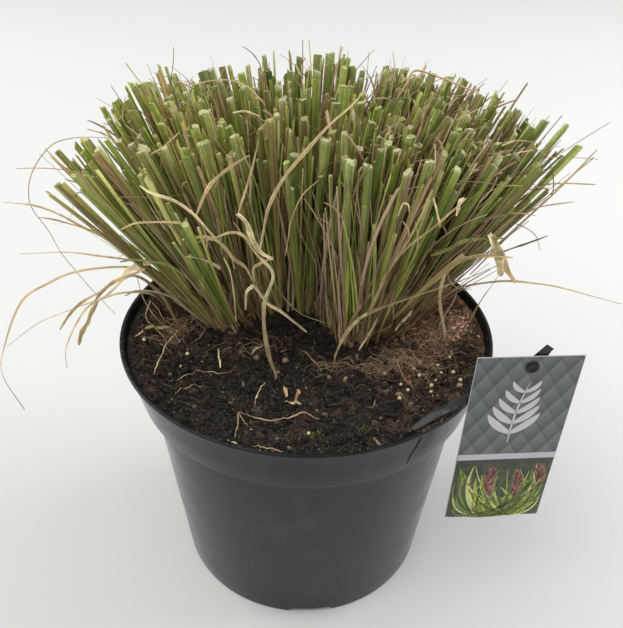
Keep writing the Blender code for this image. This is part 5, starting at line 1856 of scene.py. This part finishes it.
def card_part():
    """The card: a band of rings from its hole's edge to its own edge, on the front, over the
    rounded edge and back on the reverse, and through the hole. Each spoke from the hole's
    centre meets the card's straight edge at the nearer of its two crossings."""
    half = np.array([CARD_WIDTH / 2, CARD_HEIGHT / 2])
    hole = np.array(CARD_HOLE)
    corners = np.array([(-1, -1), (1, -1), (1, 1), (-1, 1)]) * half
    angle = np.arctan2(corners[:, 1] - hole[1], corners[:, 0] - hole[0])
    angle = np.sort(np.concatenate([angle, np.linspace(-math.pi, math.pi, 60, endpoint=False)]))
    spoke = np.stack([np.cos(angle), np.sin(angle)], axis=1)
    rings = ((0, 0, -0.5), (0.004, 1, -0.5), (0.03, 1, -0.5), (0.15, 1, -0.5), (0.5, 1, -0.5),
             (1, -0.0004, -0.5), (1, -0.00005, -0.3), (1, 0, 0), (1, -0.00005, 0.3),
             (1, -0.0004, 0.5), (0.5, 1, 0.5), (0.15, 1, 0.5), (0.03, 1, 0.5), (0, 0, 0.5))
    rows = []
    for share, inset, depth in rings:
        edge = half + (inset if share == 1 else 0)
        with np.errstate(divide="ignore"):
            crossing = (np.sign(spoke) * edge - hole) / spoke
        reach = np.nanmin(np.where(crossing > 0, crossing, np.inf), axis=1)
        radius = mixed(CARD_HOLE_RADIUS, reach, share)
        x, z = (hole + spoke * radius[:, None]).T
        rows.append(np.column_stack([x, np.full(len(x), depth * CARD_THICKNESS), z]))
    return on_card(sheet_part(np.array(rows), paint(96, 98, 100), looped=True))


def card_leaf_strands(feet, tips, sag, half, y, rings=10):
    """Printed leaves in card coordinates: flat tapering shapes from foot to tip, bent by sag."""
    feet = np.array(feet, float)
    tips = np.array(tips, float)
    share = np.linspace(0, 1, rings)[None, :, None]
    flat = mixed(feet[:, None], tips[:, None], share)
    run = tips - feet
    across = unit(np.stack([-run[:, 1], run[:, 0]], axis=1))
    flat = flat + across[:, None] * np.asarray(sag)[:, None, None] * (4 * share * (1 - share))
    reach = CARD_WIDTH / 2 - 0.0012
    x = np.clip(flat[..., 0], -reach, reach)
    path = np.stack([x, np.full(x.shape, y), flat[..., 1]], axis=-1)
    width = np.asarray(half)[:, None] * np.sin(math.pi * (0.08 + 0.9 * share[..., 0])) ** 0.7
    side = np.cross(unit(np.gradient(path, axis=1)), [0.0, 1.0, 0.0])
    return path, side, ribbon_profile(width, 0.00006, corners=4)


def card_motif(name, ink, drawn, tint):
    """Printed strands laid on the card as one piece; tint is one colour for each strand."""
    part = strand_part(carried(*drawn, np.asarray(tint)[:, None, None]))
    make_piece(name, [on_card(part)], (ink,))


def attribute_ink(name):
    """Printing ink: the piece's tint as it is, with the card's satin coat."""
    made, tree, shader = new_material(name, 0.38, 0.45)
    feed(tree, shader.inputs["Base Color"], attribute(tree, "tint"))
    return made


def build_grass_print(rng, ink):
    """Two layers of printed grass that fans up from the card's lower edge."""
    low_z = -CARD_HEIGHT / 2
    for number, count, wide in ((1, 60, 1.0), (2, 34, 2.0)):
        feet = np.column_stack([rng.normal(0, 0.012, count), np.full(count, low_z + 0.0008)])
        spread = rng.uniform(-1, 1, count)
        tips = np.column_stack([spread * 0.0325, low_z + 0.004 + rng.uniform(0.010, 0.050, count)])
        tips[:, 1] = np.minimum(tips[:, 1], PICTURE_Z - 0.001)
        half = rng.uniform(0.00035, 0.0009, count) * wide
        y = CARD_FRONT - PRINT_LAYER * (2 * number - 1)
        drawn = card_leaf_strands(feet, tips, -spread * 0.008, half, y)
        tint = shades_of(PRINT_GREENS, rng, count, 0.6, 1.1)
        card_motif(f"label_motif_grass_{number}", ink, drawn, tint)


def build_plumes(rng, ink, y):
    """Four upright seed heads among the printed grass, each of many short bristles."""
    share = rng.uniform(0, 1, (len(PLUME_HEADS), PLUME_BRISTLES))
    offset, height, drop = PLUME_HEADS.T[..., None]
    foot_z = PICTURE_Z - 0.004 - height - drop
    sway = 0.002 * np.sin(share * 3) * np.sign(offset)
    feet = np.stack([offset + sway, foot_z + share * height], axis=-1)
    lean = rng.choice([-1, 1], share.shape) * rng.uniform(0.1, 1.0, share.shape)
    swell = 0.0068 * np.sin(math.pi * np.clip(share, 0.06, 0.97)) ** 0.6
    tips = feet + np.stack([lean * swell, 0.0056 + 0 * share], axis=-1)
    tips[..., 1] = np.minimum(tips[..., 1], PICTURE_Z - 0.0006)
    half = np.full(share.size, 0.00026)
    drawn = card_leaf_strands(feet.reshape(-1, 2), tips.reshape(-1, 2), 0 * half, half, y, 4)
    card_motif("label_motif_plumes", ink, drawn, PRINT_PINKS[rng.integers(0, 4, share.size)])


def build_sprig(ink, y):
    """A plain white sprig on the quilt: one curved stalk with paired leaves."""
    foot = np.array([-0.002, 0.001])
    stalk_top = foot + [0.005, 0.052]
    leaves = [(foot, stalk_top, 0.0018, 0.00065)]
    for k in range(5):
        share = 0.16 + 0.17 * k
        node = mixed(foot, stalk_top, share) - [0.0018 * 4 * share * (1 - share), 0]
        length = 0.0230 - 0.0027 * k
        for sign in (-1, 1):
            tip = node + np.array([sign * length * 0.72, length * 0.72])
            leaves.append((node, tip, -sign * 0.0016, 0.0028 - 0.00028 * k))
    drawn = card_leaf_strands(*zip(*leaves), y)
    card_motif("label_motif_sprig", ink, drawn, np.tile(paint(198, 200, 198), (len(leaves), 1)))


def button_parts():
    """The strap's button: an outline of (radius, depth) turned about the card's hole."""
    front = CARD_FRONT - BUTTON_GAP
    neck = CARD_HOLE_RADIUS - BUTTON_GAP
    outline = [
        (0.0001, front - BUTTON_THICKNESS * 0.7),
        (BUTTON_RADIUS * 0.45, front - BUTTON_THICKNESS * 0.7),
        (BUTTON_RADIUS * 0.55, front - BUTTON_THICKNESS),
        (BUTTON_RADIUS * 0.8, front - BUTTON_THICKNESS),
        (BUTTON_RADIUS, front - BUTTON_THICKNESS * 0.45),
        (BUTTON_RADIUS * 0.93, front),
        (neck, front),
        (neck, STRAP_BEHIND_CARD),
        (0.0001, STRAP_BEHIND_CARD),
    ]
    angle = round_angles(BUTTON_COLUMNS)
    radius, depth = np.array(outline).T[..., None]
    points = np.stack([CARD_HOLE[0] + radius * np.cos(angle), depth + 0 * angle,
                       CARD_HOLE[1] + radius * np.sin(angle)], axis=-1)
    return [on_card(part) for part in turned_parts(points, STRAP_BLACK, 1)]


def build_strap(plastic):
    """The strap: a smooth strip with rounded edges that tapers into the compost, an arrow tip,
    and a button in the hole."""
    rings = 60
    on_card_spots = from_card([(x, STRAP_BEHIND_CARD, z) for x, z in (CARD_HOLE, STRAP_TIP)])
    route = np.vstack([np.array(STRAP_ROUTE_MM) * MM, on_card_spots])
    path = smooth_path(route, rings)[None]
    side = smooth_path(np.array(STRAP_WIDTH_AXES), rings)[None]
    share = np.linspace(0, 1, rings)[None]
    arrow = 1.25 * smooth_step(0.865, 0.885, share) - 1.6 * smooth_step(0.90, 1.0, share)
    half = STRAP_WIDTH / 2 * (0.92 + arrow * (share > 0.86) * 0.2)
    half = np.maximum(half, 0.0006) * mixed(0.25, 1.0, smooth_step(0.0, 0.34, share))
    profile = ribbon_profile(half, STRAP_THICKNESS * 0.95, corners=10)
    strap = strand_part(carried(path, side, profile, STRAP_BLACK))
    plastics = (plastic, plain_material("button_plastic", paint(16, 17, 18), 0.42, 0.3))
    make_piece("label_strap_moulded", [strap] + button_parts(), plastics,
               ("label_strap",))


def build_label(strap_plastic):
    """Card, its printed motifs and its strap."""
    make_piece("label_card_print", [card_part()], (card_material(),),
               ("label_card",))
    rng = np.random.default_rng(SEED + 50)
    ink = attribute_ink("card_ink")
    build_grass_print(rng, ink)
    build_plumes(rng, ink, CARD_FRONT - PRINT_LAYER * 2)
    build_sprig(ink, CARD_FRONT - PRINT_LAYER)
    build_strap(strap_plastic)


# Stage, light and camera


def link(made):
    """Put an object in the scene, and return it."""
    bpy.context.scene.collection.objects.link(made)
    return made


def build_stage():
    """The plain pale floor."""
    floor = bpy.data.meshes.new("floor")
    spots = [(x * FLOOR_HALF, y * FLOOR_HALF, 0) for x, y in ((-1, -1), (1, -1), (1, 1), (-1, 1))]
    floor.from_pydata(spots, [], [(0, 1, 2, 3)])
    made, _, shader = new_material("pale_floor", 0.7, 0.25)
    shader.inputs["Base Color"].default_value = (*paint(216, 216, 215), 1.0)
    floor.materials.append(made)
    ground = link(bpy.data.objects.new("floor", floor))


def add_light(name, kind, place, direction, power, colour, **shape):
    """A lamp that shines along direction; shape sets its size or, for a sun, its angle."""
    lamp = bpy.data.lights.new(name, kind)
    lamp.energy = power
    lamp.color = colour
    for key, value in shape.items():
        setattr(lamp, key, value)
    made = link(bpy.data.objects.new(name, lamp))
    made.location = place
    made.rotation_euler = Vector(direction).to_track_quat("-Z", "Y").to_euler()


def build_light():
    """A pale room, a broad sun from the upper left, and two large soft lamps behind at the
    sides, which brighten the pot's edges."""
    world = bpy.data.worlds.new("studio")
    bpy.context.scene.world = world
    world.use_nodes = True
    sky = world.node_tree.nodes["Background"]
    sky.inputs["Color"].default_value = (1.0, 1.0, 1.0, 1.0)
    sky.inputs["Strength"].default_value = SKY_STRENGTH
    add_light("broad_sun", "SUN", (0, 0, 0), SUN_DIRECTION, SUN_POWER, (1.0, 0.99, 0.96),
              angle=math.radians(50))
    for name, place, power, colour in PANELS:
        direction = Vector(PANEL_AIM) - Vector(place)
        add_light(name, "AREA", place, direction, power, colour, size=PANEL_SIZE)
    bpy.context.scene.view_settings.view_transform = "Standard"


def build_camera():
    """The fitted camera: pitched down, rolled a little, with the lens of the photograph."""
    forward = Vector((0, math.cos(CAMERA_PITCH), -math.sin(CAMERA_PITCH)))
    level_up = Vector((0, math.sin(CAMERA_PITCH), math.cos(CAMERA_PITCH)))
    level_right = Vector((1, 0, 0))
    right = level_right * math.cos(CAMERA_ROLL) + level_up * math.sin(CAMERA_ROLL)
    up = level_up * math.cos(CAMERA_ROLL) - level_right * math.sin(CAMERA_ROLL)
    lens = bpy.data.cameras.new("camera")
    lens.sensor_fit = "AUTO"
    lens.sensor_width = SENSOR_WIDTH
    lens.lens = SENSOR_WIDTH * FOCAL_PIXELS / max(IMAGE_WIDTH, IMAGE_HEIGHT)
    lens.clip_start = 0.01
    made = link(bpy.data.objects.new("camera", lens))
    turn = Matrix((right, up, -forward)).transposed().to_4x4()
    made.matrix_world = Matrix.Translation(CAMERA_PLACE) @ turn
    bpy.context.scene.camera = made


def build():
    """The whole object, its floor, its light and its camera."""
    build_camera()
    build_stage()
    build_light()
    layout = stem_layout()
    blade = blade_material("grass_blade", 0.5, 0.22, 0.5)
    dry = blade_material("dry_blade", 0.7, 0.2, 0.35)
    bead = plain_material("bead_coat", paint(214, 204, 154), 0.45)
    moss = blade_material("moss_leaf", 0.8, 0.1, 0.0)
    cut = cut_face_material()
    build_stems(layout, blade, cut)
    build_dry_leaves(dry)
    build_straws(layout, dry, blade, cut)
    build_fine_leaves(dry)
    build_soil(compost_material(), dry, bead, moss)
    build_pot(pot_material("pot_plastic", 0.38), pot_material("collar_plastic", 0.22))
    build_label(plain_material("strap_plastic", STRAP_BLACK, 0.36))


build()
bpy.context.view_layer.update()
